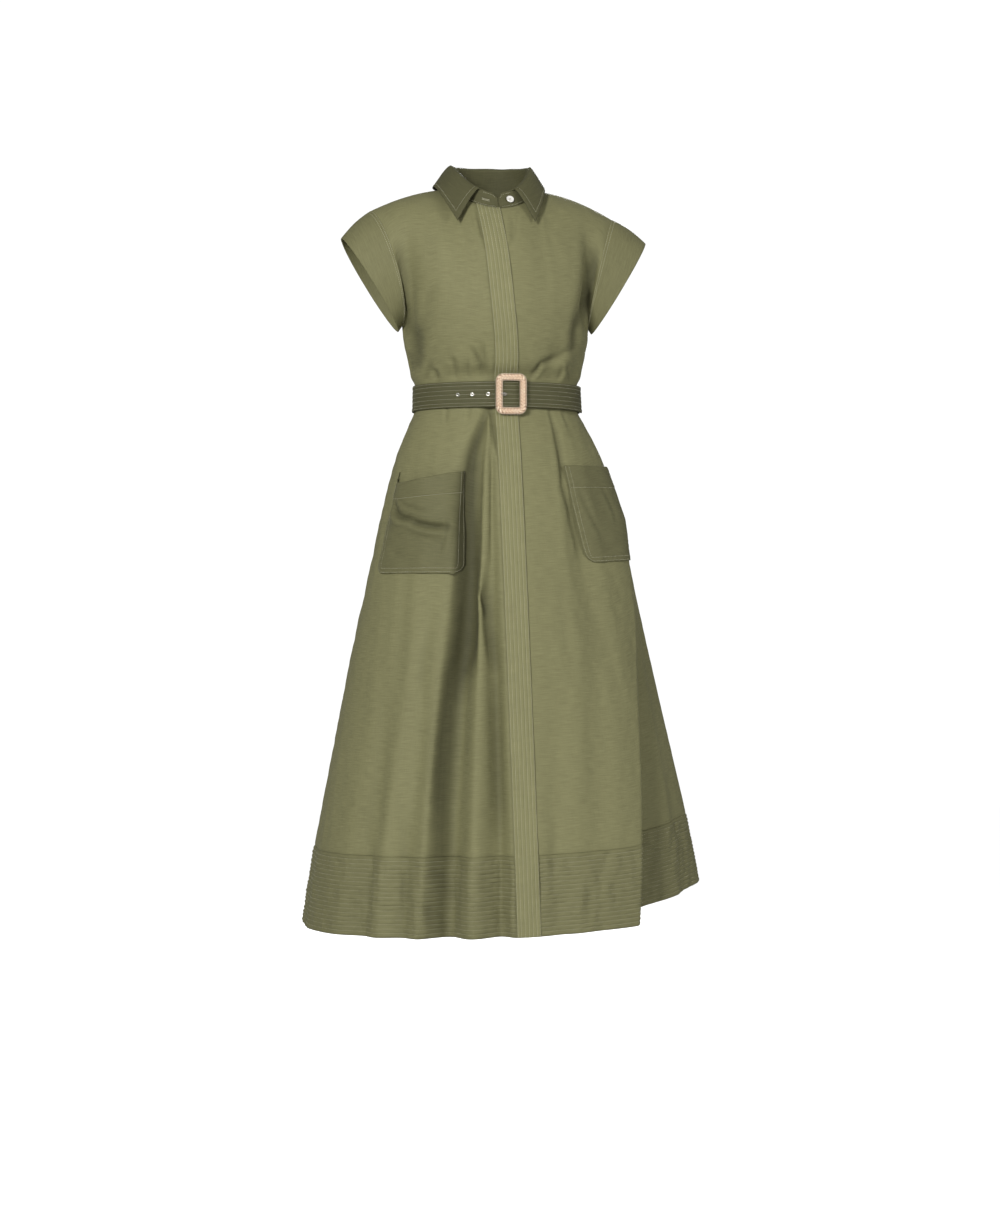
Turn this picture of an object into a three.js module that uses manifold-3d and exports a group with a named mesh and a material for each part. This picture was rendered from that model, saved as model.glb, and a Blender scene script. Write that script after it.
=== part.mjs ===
// A belted midi shirt dress, filled out as it is worn, with nobody in it.
//
// Frame: millimetres, +Z up, the front faces -Y, +X is the wearer's left. The origin is the middle of
// the neck at the height where the shoulder seams begin, so everything but the collar hangs below it.
//
// Every piece of cloth is a thin closed wall. Its outer sheet is worked out from a surface of two
// parameters (round the body, and up it), and its inner sheet lies one cloth thickness inside.
// What is sewn on top of a panel uses the panel's own surface, moved outwards.

import * as THREE from "three";
import { mergeVertices } from "three/addons/utils/BufferGeometryUtils.js";
import Module from "manifold-3d";

const wasm = await Module();
wasm.setup();

// Cloth and gaps
const CLOTH = 1.2;
const DOUBLE_CLOTH = 1.8;
const BELT_CLOTH = 2;
const SEAM_GAP = 0.35;
const LAYER_GAP = 0.6;

// Heights on the body
const WAIST_Z = -312;
const UNDERARM_Z = -205;
const BAND_Z = -985;
const HEM_Z = -1100;

// Neck and shoulders
const NECK = { halfWidth: 64, front: 78, back: 62, frontDrop: 36, backDrop: 8 };
const SHOULDER_TIP = { x: 183, y: 2, rightZ: -34, leftZ: -41 };
const NECK_SHARE = { front: 0.42, back: 0.4 };

// Collar
const STAND_TOP = { halfWidth: 55, front: 66, back: 51, frontZ: -13, sideZ: 34, backZ: 38 };
const STAND_END_GAP = 1.6;
const COLLAR_EDGE = { middle: -4, halfWidth: 83, back: 78, sideZ: 3, backZ: -2 };
const COLLAR_POINT = { x: 57, y: -93, z: -58 };
const COLLAR_START = 23;
const COLLAR_ROLL = 5;

// Front placket
const PLACKET_WIDTH = 34;
const PLACKET_CHANNELS = 6;
const PLACKET_RELIEF = 0.6;

// Belt, buckle and eyelets
const BELT_WIDTH = 38;
const BELT_CHANNELS = 6;
const BELT_RELIEF = 0.5;
const BELT_TOP_Z = -293.5;
const BELT_TAIL_END = 96;
const BUCKLE = { angle: 3.7, width: 46, height: 60, band: 10.5, corner: 9, thickness: 5, pin: 1.2 };
const EYELET = { radius: 2.9, hole: 1.5, lastToBuckle: 9.2 };
const EYELET_TURNS = [-32.5, -21.9, -10.8];

// Quilted hem band
const BAND_CHANNELS = 18;
const BAND_RELIEF = 0.8;

// Patch pockets
const POCKET = { corner: 17, hem: 33, hemRelief: 0.7, gap: 0.9 };

const COLOURS = { cloth: 0x77754e, straw: 0xd9b88f, shell: 0xeceae6, steel: 0xc8c8c4 };

const rad = THREE.MathUtils.degToRad;
const degrees = THREE.MathUtils.radToDeg;
const lerp = THREE.MathUtils.lerp;
const clamp01 = (t) => Math.min(1, Math.max(0, t));
const smooth = (t) => clamp01(t) ** 2 * (3 - 2 * clamp01(t));
const between = (a, b, t) => smooth((t - a) / (b - a));
const bell = (t) => Math.exp(-t * t);
const point = (x, y, z) => new THREE.Vector3(x, y, z);
const steps = (count, from = 0, to = 1) =>
  Array.from({ length: count + 1 }, (_, i) => lerp(from, to, i / count));
const turned = (angle) => ((((angle + 180) % 360) + 360) % 360) - 180;

// Reads one column of a table whose rows rise in another column, with a smooth curve between rows.
function column(rows, by, key) {
  const xs = rows.map((r) => r[by]);
  const ys = rows.map((r) => r[key]);
  const slopeAt = (i) => {
    const a = Math.max(0, i - 1);
    const b = Math.min(rows.length - 1, i + 1);
    return (ys[b] - ys[a]) / (xs[b] - xs[a]);
  };
  return (x) => {
    let i = 0;
    while (i < rows.length - 2 && x > xs[i + 1]) i += 1;
    const span = xs[i + 1] - xs[i];
    const t = clamp01((x - xs[i]) / span);
    const t2 = t * t;
    const t3 = t2 * t;
    return (
      (2 * t3 - 3 * t2 + 1) * ys[i] +
      (t3 - 2 * t2 + t) * span * slopeAt(i) +
      (3 * t2 - 2 * t3) * ys[i + 1] +
      (t3 - t2) * span * slopeAt(i + 1)
    );
  };
}

// The body's own line: a slight lean, so the hem hangs a little to the wearer's left of the neck.
const lean = column([
  { z: -1100, x: 20 },
  { z: -700, x: 14 },
  { z: -312, x: 8 },
  { z: -205, x: 7 },
  { z: -40, x: 2 },
  { z: 0, x: 0 },
  { z: 60, x: 0 },
], "z", "x");

// Skirt: a ring at each height, with its half width and its depth to the front and to the back
const skirtRows = [
  { z: -1100, halfWidth: 303, front: 242, back: 258 },
  { z: -985, halfWidth: 283, front: 226, back: 238 },
  { z: -850, halfWidth: 255, front: 202, back: 210 },
  { z: -700, halfWidth: 223, front: 173, back: 180 },
  { z: -570, halfWidth: 193, front: 148, back: 157 },
  { z: -480, halfWidth: 173, front: 131, back: 140 },
  { z: -400, halfWidth: 151, front: 113, back: 120 },
  { z: -350, halfWidth: 130, front: 97, back: 99 },
  { z: -335, halfWidth: 123.5, front: 91.5, back: 89 },
  { z: -312, halfWidth: 122, front: 90, back: 87 },
];
const skirtWidth = column(skirtRows, "z", "halfWidth");
const skirtFront = column(skirtRows, "z", "front");
const skirtBack = column(skirtRows, "z", "back");

// Lines that run down the skirt, each a ridge or a trough: its angle round the body at the waist, the hip,
// half way down and at the hem, how far it stands out of the ring there (in, if negative), and into how
// many columns the cloth from the line before it is cut. Angle 0 is the centre front, 90 the left side.
const skirtLines = [
  { name: "right side seam", waist: -90, hip: -90, mid: -90, hem: -90,
    outHip: 0, outMid: 0, outHem: -4, cuts: 1 },
  { name: "right side wave", waist: -76, hip: -75, mid: -75, hem: -76,
    outHip: 0, outMid: 2, outHem: 1, cuts: 2 },
  { name: "right swell", waist: -60, hip: -60, mid: -59, hem: -60,
    outHip: 0, outMid: 2, outHem: 4, cuts: 2 },
  { name: "first band dent", waist: -48, hip: -49, mid: -49, hem: -50,
    outHip: 0, outMid: 1, outHem: -7, cuts: 2 },
  { name: "right ridge", waist: -40, hip: -41, mid: -42, hem: -43,
    outHip: 1, outMid: 4, outHem: 6, cuts: 1 },
  { name: "second band dent", waist: -31, hip: -33, mid: -35, hem: -36.5,
    outHip: 1, outMid: 2, outHem: -8, cuts: 2 },
  { name: "pocket edge ridge", waist: -22, hip: -25.5, mid: -28, hem: -30,
    outHip: 2, outMid: 6, outHem: 6, cuts: 2 },
  { name: "deep trough", waist: -13, hip: -18.3, mid: -21, hem: -23.5,
    outHip: -9, outMid: -20, outHem: -33, cuts: 3 },
  { name: "ridge by the trough", waist: -10.5, hip: -13.4, mid: -14, hem: -14.8,
    outHip: 1, outMid: 4, outHem: 7, cuts: 2 },
  { name: "placket trough", waist: -8.5, hip: -9.4, mid: -8.4, hem: -7.2,
    outHip: -8, outMid: -12, outHem: -23, cuts: 2 },
  { name: "placket right edge", waist: -7, hip: -5, mid: -3.9, hem: -3,
    outHip: 0, outMid: 1, outHem: 1, cuts: 2 },
  { name: "front opening", waist: -3.3, hip: -2.3, mid: -1.8, hem: -1.3,
    outHip: 0, outMid: 1, outHem: 1, cuts: 1 },
  { name: "placket left edge", waist: 9, hip: 7, mid: 5.6, hem: 4.4,
    outHip: 0, outMid: 0, outHem: 0, cuts: 1 },
  { name: "left wave", waist: 17, hip: 15, mid: 12, hem: 9.5,
    outHip: 0, outMid: -1, outHem: -4, cuts: 1 },
  { name: "left swell", waist: 25, hip: 25, mid: 23, hem: 15,
    outHip: 1, outMid: 1, outHem: 2, cuts: 2 },
  { name: "left pocket trough", waist: 33, hip: 33, mid: 36, hem: 20,
    outHip: -7, outMid: -3, outHem: 0, cuts: 2 },
  { name: "left flat", waist: 48, hip: 48, mid: 46, hem: 26,
    outHip: 1, outMid: 3, outHem: 1, cuts: 2 },
  { name: "left front edge", waist: 78, hip: 74, mid: 57, hem: 33,
    outHip: 14, outMid: 3, outHem: 3, cuts: 2 },
  { name: "edge turned in", waist: 81, hip: 78, mid: 62, hem: 38,
    outHip: 13, outMid: -3, outHem: -26, cuts: 2 },
  { name: "left notch", waist: 84, hip: 82, mid: 69, hem: 50,
    outHip: 11, outMid: -13, outHem: -62, cuts: 2 },
  { name: "inside of the flare", waist: 87, hip: 86, mid: 79, hem: 70,
    outHip: 10, outMid: -9, outHem: -30, cuts: 2 },
  { name: "left side seam", waist: 90, hip: 90, mid: 90, hem: 90,
    outHip: 9, outMid: 0, outHem: -5, cuts: 2 },
  { name: "left side ridge", waist: 99, hip: 99, mid: 98, hem: 97,
    outHip: 7, outMid: 0, outHem: -2, cuts: 1 },
  { name: "back trough one", waist: 112, hip: 113, mid: 112, hem: 111,
    outHip: -2, outMid: -9, outHem: -27, cuts: 2 },
  { name: "back ridge one", waist: 126, hip: 127, mid: 128, hem: 129,
    outHip: 0, outMid: 5, outHem: 8, cuts: 2 },
  { name: "back trough two", waist: 140, hip: 141, mid: 143, hem: 142,
    outHip: -3, outMid: -12, outHem: -31, cuts: 2 },
  { name: "back ridge two", waist: 157, hip: 158, mid: 158, hem: 160,
    outHip: 1, outMid: 5, outHem: 10, cuts: 2 },
  { name: "back trough three", waist: 174, hip: 175, mid: 176, hem: 177,
    outHip: -4, outMid: -15, outHem: -34, cuts: 2 },
  { name: "back ridge three", waist: 190, hip: 192, mid: 195, hem: 196,
    outHip: 1, outMid: 5, outHem: 11, cuts: 2 },
  { name: "back trough four", waist: 208, hip: 209, mid: 211, hem: 213,
    outHip: -3, outMid: -12, outHem: -29, cuts: 2 },
  { name: "back ridge four", waist: 226, hip: 227, mid: 229, hem: 230,
    outHip: 0, outMid: 4, outHem: 8, cuts: 2 },
  { name: "back trough five", waist: 243, hip: 243, mid: 245, hem: 247,
    outHip: -2, outMid: -9, outHem: -23, cuts: 2 },
  { name: "back ridge five", waist: 257, hip: 258, mid: 258, hem: 259,
    outHip: 0, outMid: 2, outHem: 0, cuts: 2 },
  { name: "right side seam again", waist: 270, hip: 270, mid: 270, hem: 270,
    outHip: 0, outMid: 0, outHem: -4, cuts: 1 },
];
const LINE_Z = { waist: -335, hip: -500, mid: -700 };
const lineNumber = (name) => skirtLines.findIndex((line) => line.name === name);

// One value of a skirt line at a height, from its values at the waist, the hip, half way down and the hem
function along(waist, hip, mid, hem, z) {
  if (z > LINE_Z.hip) return lerp(hip, waist, clamp01((z - LINE_Z.hip) / (LINE_Z.waist - LINE_Z.hip)));
  if (z > LINE_Z.mid) return lerp(mid, hip, (z - LINE_Z.mid) / (LINE_Z.hip - LINE_Z.mid));
  return lerp(mid, hem, ((LINE_Z.mid - z) / (LINE_Z.mid - HEM_Z)) ** 0.75);
}
const lineAngle = (line, z) => along(line.waist, line.hip, line.mid, line.hem, z);
const lineOut = (line, z) => {
  const down = clamp01((LINE_Z.mid - z) / (LINE_Z.mid - HEM_Z)) ** 0.9;
  return z > LINE_Z.mid ? along(0, line.outHip, line.outMid, 0, z) : lerp(line.outMid, line.outHem, down);
};

// How far the hem is lifted above its lowest level by the step the wearer takes, by angle
const liftAt = column([
  { angle: -180, lift: 16 },
  { angle: -90, lift: 3 },
  { angle: -40, lift: 1 },
  { angle: 0, lift: 5 },
  { angle: 20, lift: 11 },
  { angle: 36, lift: 17 },
  { angle: 55, lift: 36 },
  { angle: 78, lift: 56 },
  { angle: 100, lift: 63 },
  { angle: 140, lift: 42 },
  { angle: 180, lift: 16 },
], "angle", "lift");

// A point of the skirt at an angle and a height before the lift
function skirt(angle, height) {
  const lines = skirtLines;
  const at = angle < -90 ? angle + 360 : angle > 270 ? angle - 360 : angle;
  let i = 0;
  while (i < lines.length - 2 && at > lineAngle(lines[i + 1], height)) i += 1;
  const from = lineAngle(lines[i], height);
  const to = lineAngle(lines[i + 1], height);
  const across = smooth((at - from) / (to - from));
  const out = lerp(lineOut(lines[i], height), lineOut(lines[i + 1], height), across);
  const a = skirtWidth(height);
  const b = at <= 90 ? skirtFront(height) : skirtBack(height);
  const grow = 1 + out / Math.hypot(a * Math.sin(rad(at)), b * Math.cos(rad(at)));
  const share = clamp01((WAIST_Z - height) / (WAIST_Z - HEM_Z));
  return point(
    lean(height) + a * grow * Math.sin(rad(at)),
    -b * grow * Math.cos(rad(at)),
    height + liftAt(turned(at)) * share ** 1.6,
  );
}

// Bodice below the underarm, as rings
const bodiceRows = [
  { z: -312, halfWidth: 122, front: 90, back: 87 },
  { z: -293, halfWidth: 122, front: 90, back: 87 },
  { z: -282, halfWidth: 127, front: 93, back: 93 },
  { z: -268, halfWidth: 130, front: 104, back: 98 },
  { z: -250, halfWidth: 134, front: 111, back: 100 },
  { z: -228, halfWidth: 138.5, front: 117, back: 101.5 },
  { z: -205, halfWidth: 141, front: 121, back: 102 },
];
const bodiceWidth = column(bodiceRows, "z", "halfWidth");
const bodiceFront = column(bodiceRows, "z", "front");
const bodiceBack = column(bodiceRows, "z", "back");

// Folds of the bodice: u is the share of the way from the centre to the side, to the wearer's left if
// positive, level is 1 at the underarm and 0 at the waist, and depth goes into the cloth.
const bodiceFolds = {
  front: [
    { name: "tuck right of the placket", u: -0.18, level: 0.34, reach: 0.22, spread: 0.06, depth: 3.5 },
    { name: "tuck at the right", u: -0.6, level: 0.3, reach: 0.18, spread: 0.07, depth: 3 },
    { name: "pull from the buckle", u: 0.4, level: 0.42, reach: 0.28, spread: 0.08, depth: 5 },
    { name: "pouch at the left side", u: 0.7, level: 0.36, reach: 0.24, spread: 0.09, depth: 5 },
    { name: "drape under the right sleeve", u: -0.82, level: 1.1, reach: 0.42, spread: 0.1, depth: 7 },
    { name: "drape under the left sleeve", u: 0.82, level: 1.25, reach: 0.4, spread: 0.1, depth: 8 },
  ],
  back: [
    { name: "back tuck one", u: -0.5, level: 0.34, reach: 0.26, spread: 0.08, depth: 5 },
    { name: "back tuck two", u: -0.1, level: 0.3, reach: 0.2, spread: 0.07, depth: 4 },
    { name: "back tuck three", u: 0.3, level: 0.36, reach: 0.26, spread: 0.08, depth: 5 },
    { name: "drape behind the right sleeve", u: -0.82, level: 1.15, reach: 0.4, spread: 0.1, depth: 6 },
    { name: "drape behind the left sleeve", u: 0.82, level: 1.2, reach: 0.4, spread: 0.1, depth: 6 },
  ],
};
function foldDepth(side, u, level) {
  const depthOf = (fold) => (
    fold.depth * bell((u - fold.u) / fold.spread) * bell((level - fold.level) / fold.reach)
  );
  const clearOfBelt = between(0.15, 0.26, level);
  return clearOfBelt * bodiceFolds[side].reduce((sum, fold) => sum + depthOf(fold), 0);
}

// The neckline, then the shoulder seam: u 0 is the centre, u 1 the shoulder's tip
function topEdge(u, side, left) {
  const share = NECK_SHARE[side];
  if (u <= share) {
    const turn = rad((90 * u) / share);
    const depth = side === "front" ? -NECK.front : NECK.back;
    const drop = side === "front" ? NECK.frontDrop : NECK.backDrop;
    return point(
      NECK.halfWidth * Math.sin(turn),
      depth * Math.cos(turn),
      -drop * Math.max(0, Math.cos(turn)) ** 1.5,
    );
  }
  const t = (u - share) / (1 - share);
  const tipZ = left ? SHOULDER_TIP.leftZ : SHOULDER_TIP.rightZ;
  return point(
    lerp(NECK.halfWidth, SHOULDER_TIP.x, t),
    SHOULDER_TIP.y * t,
    tipZ * t ** 1.7,
  );
}

// Which way the cloth runs where it leaves the underarm ring (rise) and where it reaches the top (land)
const flowColumns = ["riseX", "riseY", "riseZ", "landX", "landY", "landZ"];
const flowOf = (rows) => Object.fromEntries(flowColumns.map((key) => [key, column(rows, "u", key)]));
const flows = {
  front: flowOf([
    { u: 0, riseX: 0, riseY: -18, riseZ: 165, landX: 0, landY: 95, landZ: 110 },
    { u: 0.28, riseX: -10, riseY: -32, riseZ: 190, landX: 0, landY: 155, landZ: 88 },
    { u: 0.42, riseX: -15, riseY: -58, riseZ: 200, landX: 0, landY: 265, landZ: 70 },
    { u: 0.62, riseX: -12, riseY: -75, riseZ: 195, landX: 0, landY: 260, landZ: 48 },
    { u: 0.8, riseX: -8, riseY: -90, riseZ: 190, landX: 0, landY: 240, landZ: 34 },
    { u: 1, riseX: -26, riseY: -235, riseZ: 60, landX: 45, landY: 195, landZ: 30 },
  ]),
  back: flowOf([
    { u: 0, riseX: 0, riseY: 0, riseZ: 200, landX: 0, landY: -110, landZ: 140 },
    { u: 0.28, riseX: -10, riseY: 25, riseZ: 205, landX: 0, landY: -160, landZ: 88 },
    { u: 0.4, riseX: -15, riseY: 50, riseZ: 210, landX: 0, landY: -262, landZ: 66 },
    { u: 0.62, riseX: -12, riseY: 68, riseZ: 200, landX: 0, landY: -258, landZ: 46 },
    { u: 0.8, riseX: -8, riseY: 85, riseZ: 190, landX: 0, landY: -238, landZ: 34 },
    { u: 1, riseX: -26, riseY: 225, riseZ: 60, landX: 45, landY: -190, landZ: 30 },
  ]),
};

// A point of the bodice's front or back. u runs from -1 (right side seam) to 1 (left side seam), and
// level from 0 (waist) through 1 (underarm) to 2 (neckline and shoulder seam).
function bodice(side, u, level) {
  const away = Math.min(1, Math.abs(u));
  const left = u > 0;
  const depth = side === "front" ? (z) => -bodiceFront(z) : bodiceBack;
  const ring = (z) => point(
    bodiceWidth(z) * Math.sin(rad(90 * away)),
    depth(z) * Math.cos(rad(90 * away)),
    z,
  );
  let p = ring(lerp(WAIST_Z, UNDERARM_Z, Math.min(1, level)));
  if (level > 1) {
    const flow = flows[side];
    const t = level - 1;
    const rise = point(flow.riseX(away), flow.riseY(away), flow.riseZ(away));
    const land = point(flow.landX(away), flow.landY(away), flow.landZ(away));
    p = p.multiplyScalar(2 * t ** 3 - 3 * t ** 2 + 1)
      .addScaledVector(rise, t ** 3 - 2 * t ** 2 + t)
      .addScaledVector(topEdge(away, side, left), 3 * t ** 2 - 2 * t ** 3)
      .addScaledVector(land, t ** 3 - t ** 2);
  }
  const inward = point(p.x, p.y * 1.4, 0).normalize().multiplyScalar(-foldDepth(side, u, level));
  return point((left ? 1 : -1) * (p.x + inward.x) + lean(p.z), p.y + inward.y, p.z);
}

// Outward directions, from the surface's two tangents
function bodiceNormal(side, u, level) {
  const e = 2e-3;
  const a = Math.min(1, u + e);
  const b = Math.max(-1, u - e);
  const across = bodice(side, a, level).sub(bodice(side, b, level));
  const up = bodice(side, u, Math.min(2, level + e)).sub(bodice(side, u, level - e));
  const n = across.cross(up).normalize();
  if (side === "back") n.negate();
  if (level > 1.9 && Math.abs(u) > NECK_SHARE[side] - 0.01) n.setY(0).normalize();
  return n;
}
function skirtNormal(angle, height) {
  const across = skirt(angle + 0.25, height).sub(skirt(angle - 0.25, height));
  const up = skirt(angle, height + 0.5).sub(skirt(angle, height - 0.5));
  return across.cross(up).setZ(0).normalize();
}
function offBodice(side, u, level, far) {
  return bodice(side, u, level).addScaledVector(bodiceNormal(side, u, level), far);
}
function offSkirt(angle, height, far) {
  return skirt(angle, height).addScaledVector(skirtNormal(angle, height), far);
}

// A closed wall between two sheets of points. Where round is true the sheets close on themselves along u.
function wall({ us, vs, outer, inner, innerUs = us, innerVs = vs, round = false }) {
  const positions = [];
  const index = [];
  const add = (p) => positions.push(p.x, p.y, p.z) / 3 - 1;
  const sheet = (columns, rows, f) => rows.map((v) => columns.map((u) => add(f(u, v))));
  const cover = (grid, inside) => {
    for (let r = 0; r < grid.length - 1; r += 1) {
      for (let c = 0; c < grid[r].length - 1; c += 1) {
        const [a, b] = [grid[r][c], grid[r][c + 1]];
        const [d, e] = [grid[r + 1][c], grid[r + 1][c + 1]];
        if (inside) index.push(a, e, b, a, d, e);
        else index.push(a, b, e, a, e, d);
      }
    }
  };
  const out = sheet(us, vs, outer);
  const into = sheet(innerUs, innerVs, inner);
  cover(out, false);
  cover(into, true);

  const share = (values, i) => (values[i] - values[0]) / (values[values.length - 1] - values[0]);
  const edge = (ids, values, start) => ids.map((id, i) => ({ id, at: start + share(values, i) }));
  const back = (list, end) => [...list].reverse().map((e) => ({ id: e.id, at: end - e.at }));
  const edges = (grid, columns, rows) => {
    const last = columns.length - 1;
    const bottom = edge(grid[0], columns, 0);
    const right = edge(grid.map((row) => row[last]), rows, 1);
    const top = edge(grid[grid.length - 1], columns, 0);
    const left = edge(grid.map((row) => row[0]), rows, 0);
    if (round) return [bottom, back(top, 1)];
    return [[...bottom, ...right.slice(1), ...back(top, 3).slice(1), ...back(left, 4).slice(1)]];
  };
  const inside = edges(into, innerUs, innerVs);
  edges(out, us, vs).forEach((loop, n) => {
    const other = inside[n];
    let i = 0;
    let j = 0;
    while (i < loop.length - 1 || j < other.length - 1) {
      const nextOuter = i < loop.length - 1 ? loop[i + 1].at : Infinity;
      const nextInner = j < other.length - 1 ? other[j + 1].at : Infinity;
      if (nextOuter <= nextInner) {
        index.push(loop[i + 1].id, loop[i].id, other[j].id);
        i += 1;
      } else {
        index.push(loop[i].id, other[j].id, other[j + 1].id);
        j += 1;
      }
    }
  });
  return closed(positions, index);
}

// A geometry with shared vertices merged and its faces pointing out
function closed(positions, index) {
  const raw = new THREE.BufferGeometry();
  raw.setAttribute("position", new THREE.Float32BufferAttribute(positions, 3));
  raw.setIndex(index);
  const merged = mergeVertices(raw, 1e-3);
  const ids = merged.index.array;
  const corner = (k) => new THREE.Vector3().fromBufferAttribute(merged.attributes.position, k);
  const kept = [];
  let volume = 0;
  for (let i = 0; i < ids.length; i += 3) {
    const [a, b, c] = [ids[i], ids[i + 1], ids[i + 2]];
    if (a === b || b === c || c === a) continue;
    kept.push(a, b, c);
    volume += corner(a).dot(corner(b).cross(corner(c)));
  }
  merged.setIndex(volume < 0 ? kept.reverse() : kept);
  return merged;
}
function asManifold(geometry) {
  return new wasm.Manifold(new wasm.Mesh({
    numProp: 3,
    vertProperties: geometry.attributes.position.array,
    triVerts: new Uint32Array(geometry.index.array),
  }));
}
function fromManifold(solid) {
  const mesh = solid.getMesh();
  const g = new THREE.BufferGeometry();
  g.setAttribute("position", new THREE.BufferAttribute(mesh.vertProperties, 3));
  g.setIndex(new THREE.BufferAttribute(mesh.triVerts, 1));
  return g;
}

const dress = new THREE.Group();
const materials = {
  cloth: new THREE.MeshStandardMaterial({ color: COLOURS.cloth, roughness: 0.62, metalness: 0 }),
  straw: new THREE.MeshStandardMaterial({ color: COLOURS.straw, roughness: 0.7, metalness: 0 }),
  shell: new THREE.MeshStandardMaterial({ color: COLOURS.shell, roughness: 0.25, metalness: 0 }),
  steel: new THREE.MeshStandardMaterial({ color: COLOURS.steel, roughness: 0.3, metalness: 0.9 }),
};
function piece(name, geometry, material = "cloth") {
  const mesh = new THREE.Mesh(geometry, materials[material]);
  mesh.name = name;
  dress.add(mesh);
}
const ridged = (share, channels, relief) => relief * Math.abs(Math.sin(Math.PI * share * channels));

// The placket's middle, measured from the body's line, drifts to the wearer's right towards the open neck.
const placketDrift = column([
  { z: -1100, x: 2 },
  { z: -277, x: 2 },
  { z: -167, x: -6 },
  { z: -106, x: -10 },
  { z: -36, x: -16 },
  { z: 0, x: -17 },
], "z", "x");
const OPENING_OFFSET = -9;

// The u of the bodice's front that lies at a given distance from the body's line, by halving
function bodiceShareAt(x, level) {
  let low = -0.6;
  let high = 0.6;
  for (let i = 0; i < 26; i += 1) {
    const middle = (low + high) / 2;
    const p = bodice("front", middle, level);
    if (p.x - lean(p.z) < x) low = middle;
    else high = middle;
  }
  return (low + high) / 2;
}
const bodicePlacketX = (level) => placketDrift(bodice("front", 1e-4, level).z);

// Bodice: two fronts that meet under the placket, and a back
const bodiceLevels = [0.0016, 0.17, 0.28, 0.42, 0.6, 0.8, 1, 1.12, 1.25, 1.38, 1.52, 1.66, 1.79, 1.9, 1.9975];
const SIDE_SHARE = 1 - 0.0011;
const openingShare = (level) => bodiceShareAt(bodicePlacketX(level) + OPENING_OFFSET, level);
const rightShares = [-SIDE_SHARE, -0.95, -0.88, -0.8, -0.7, -0.6, -0.5, -0.42, -0.33, -0.24];
const leftShares = [0.12, 0.22, 0.32, 0.42, 0.5, 0.6, 0.7, 0.8, 0.88, 0.95, SIDE_SHARE];
const backShares = [-SIDE_SHARE, -0.93, -0.82, -0.7, -0.55, -0.4, -0.28, -0.16, 0, 0.16, 0.28, 0.4, 0.55, 0.7,
  0.82, 0.93, SIDE_SHARE];
const rightColumn = (k, level) => {
  const end = openingShare(level) - 0.0022;
  const last = rightShares.length;
  if (k <= last - 1) return rightShares[k];
  return k === last ? (rightShares[last - 1] + end) / 2 : end;
};
const leftColumn = (k, level) => {
  const start = openingShare(level) + 0.0022;
  return k < 3 ? lerp(start, leftShares[0], k / 3) : leftShares[k - 3];
};
function bodicePanel(name, side, count, shareOf) {
  piece(name, wall({
    us: steps(count - 1, 0, count - 1),
    vs: bodiceLevels,
    outer: (k, level) => bodice(side, shareOf(Math.round(k), level), level),
    inner: (k, level) => offBodice(side, shareOf(Math.round(k), level), level, -CLOTH),
  }));
}
bodicePanel("bodice_front_right", "front", rightShares.length + 2, rightColumn);
bodicePanel("bodice_front_left", "front", leftShares.length + 3, leftColumn);
bodicePanel("bodice_back", "back", backShares.length, (k) => backShares[k]);

// Sleeves: a deep cuff from the armhole seam out to an open, tilted oval edge. At turn 0 it is at the
// underarm, at 90 in front, at 180 on the shoulder's tip.
const cuffs = [
  { name: "right", sign: -1, middleX: 185, reachX: 43 },
  { name: "left", sign: 1, middleX: 192, reachX: 41 },
];
const CUFF = { middleY: 3, reachY: 50, middleZ: -145, reachZ: 69, bulge: 4 };
function armhole(turn, sign) {
  const t = ((turn % 360) + 360) % 360;
  const side = t <= 180 ? "front" : "back";
  const level = 1 + Math.min(0.9999, (t <= 180 ? t : 360 - t) / 180);
  return { at: bodice(side, sign, level), outward: bodiceNormal(side, sign, level) };
}
function armholeFrame(turn, sign) {
  const { at } = armhole(turn, sign);
  const outward = armhole(turn - 4, sign).outward.add(armhole(turn + 4, sign).outward).normalize();
  const ahead = armhole(turn + 3, sign).at.sub(armhole(turn - 3, sign).at);
  const away = ahead.cross(outward).normalize().multiplyScalar(sign);
  return { at, outward, away };
}
const cuffRows = [0, 0.3, 0.68, 1];
const seamTurns = bodiceLevels.filter((level) => level >= 1).map((level) => (level - 1) * 180);
cuffs.forEach(({ name, sign, middleX, reachX }) => {
  const sheet = (deep) => (order, share) => {
    const turn = sign > 0 ? order : 360 - order;
    const { at, outward, away } = armholeFrame(turn, sign);
    const rim = (t) => point(
      sign * (middleX - reachX * Math.cos(rad(t))) + 3,
      CUFF.middleY - CUFF.reachY * Math.sin(rad(t)),
      CUFF.middleZ - CUFF.reachZ * Math.cos(rad(t)),
    );
    const seam = at.clone().addScaledVector(away, SEAM_GAP);
    const p = seam.clone().lerp(rim(turn), share);
    p.z += CUFF.bulge * Math.sin(Math.PI * share) * clamp01((p.z + 200) / 120);
    if (!deep) return p;
    const line = rim(turn).sub(seam);
    const round = rim(turn + 3).lerp(armhole(turn + 3, sign).at, 1 - share)
      .sub(rim(turn - 3).lerp(armhole(turn - 3, sign).at, 1 - share));
    const own = line.cross(round).normalize().multiplyScalar(sign);
    // At the seam the two walls are mitred, but not under the arm, where the cloth turns back on itself.
    const mitre = between(-0.3, 0, own.dot(away)) * (1 - smooth(share / 0.6));
    return p.addScaledVector(own.lerp(outward, mitre).normalize(), -deep);
  };
  piece(`sleeve_${name}`, wall({
    us: [...seamTurns, ...seamTurns.map((turn) => 360 - turn).reverse()],
    vs: cuffRows,
    round: true,
    outer: sheet(0),
    inner: sheet(DOUBLE_CLOTH),
  }));
});

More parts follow.
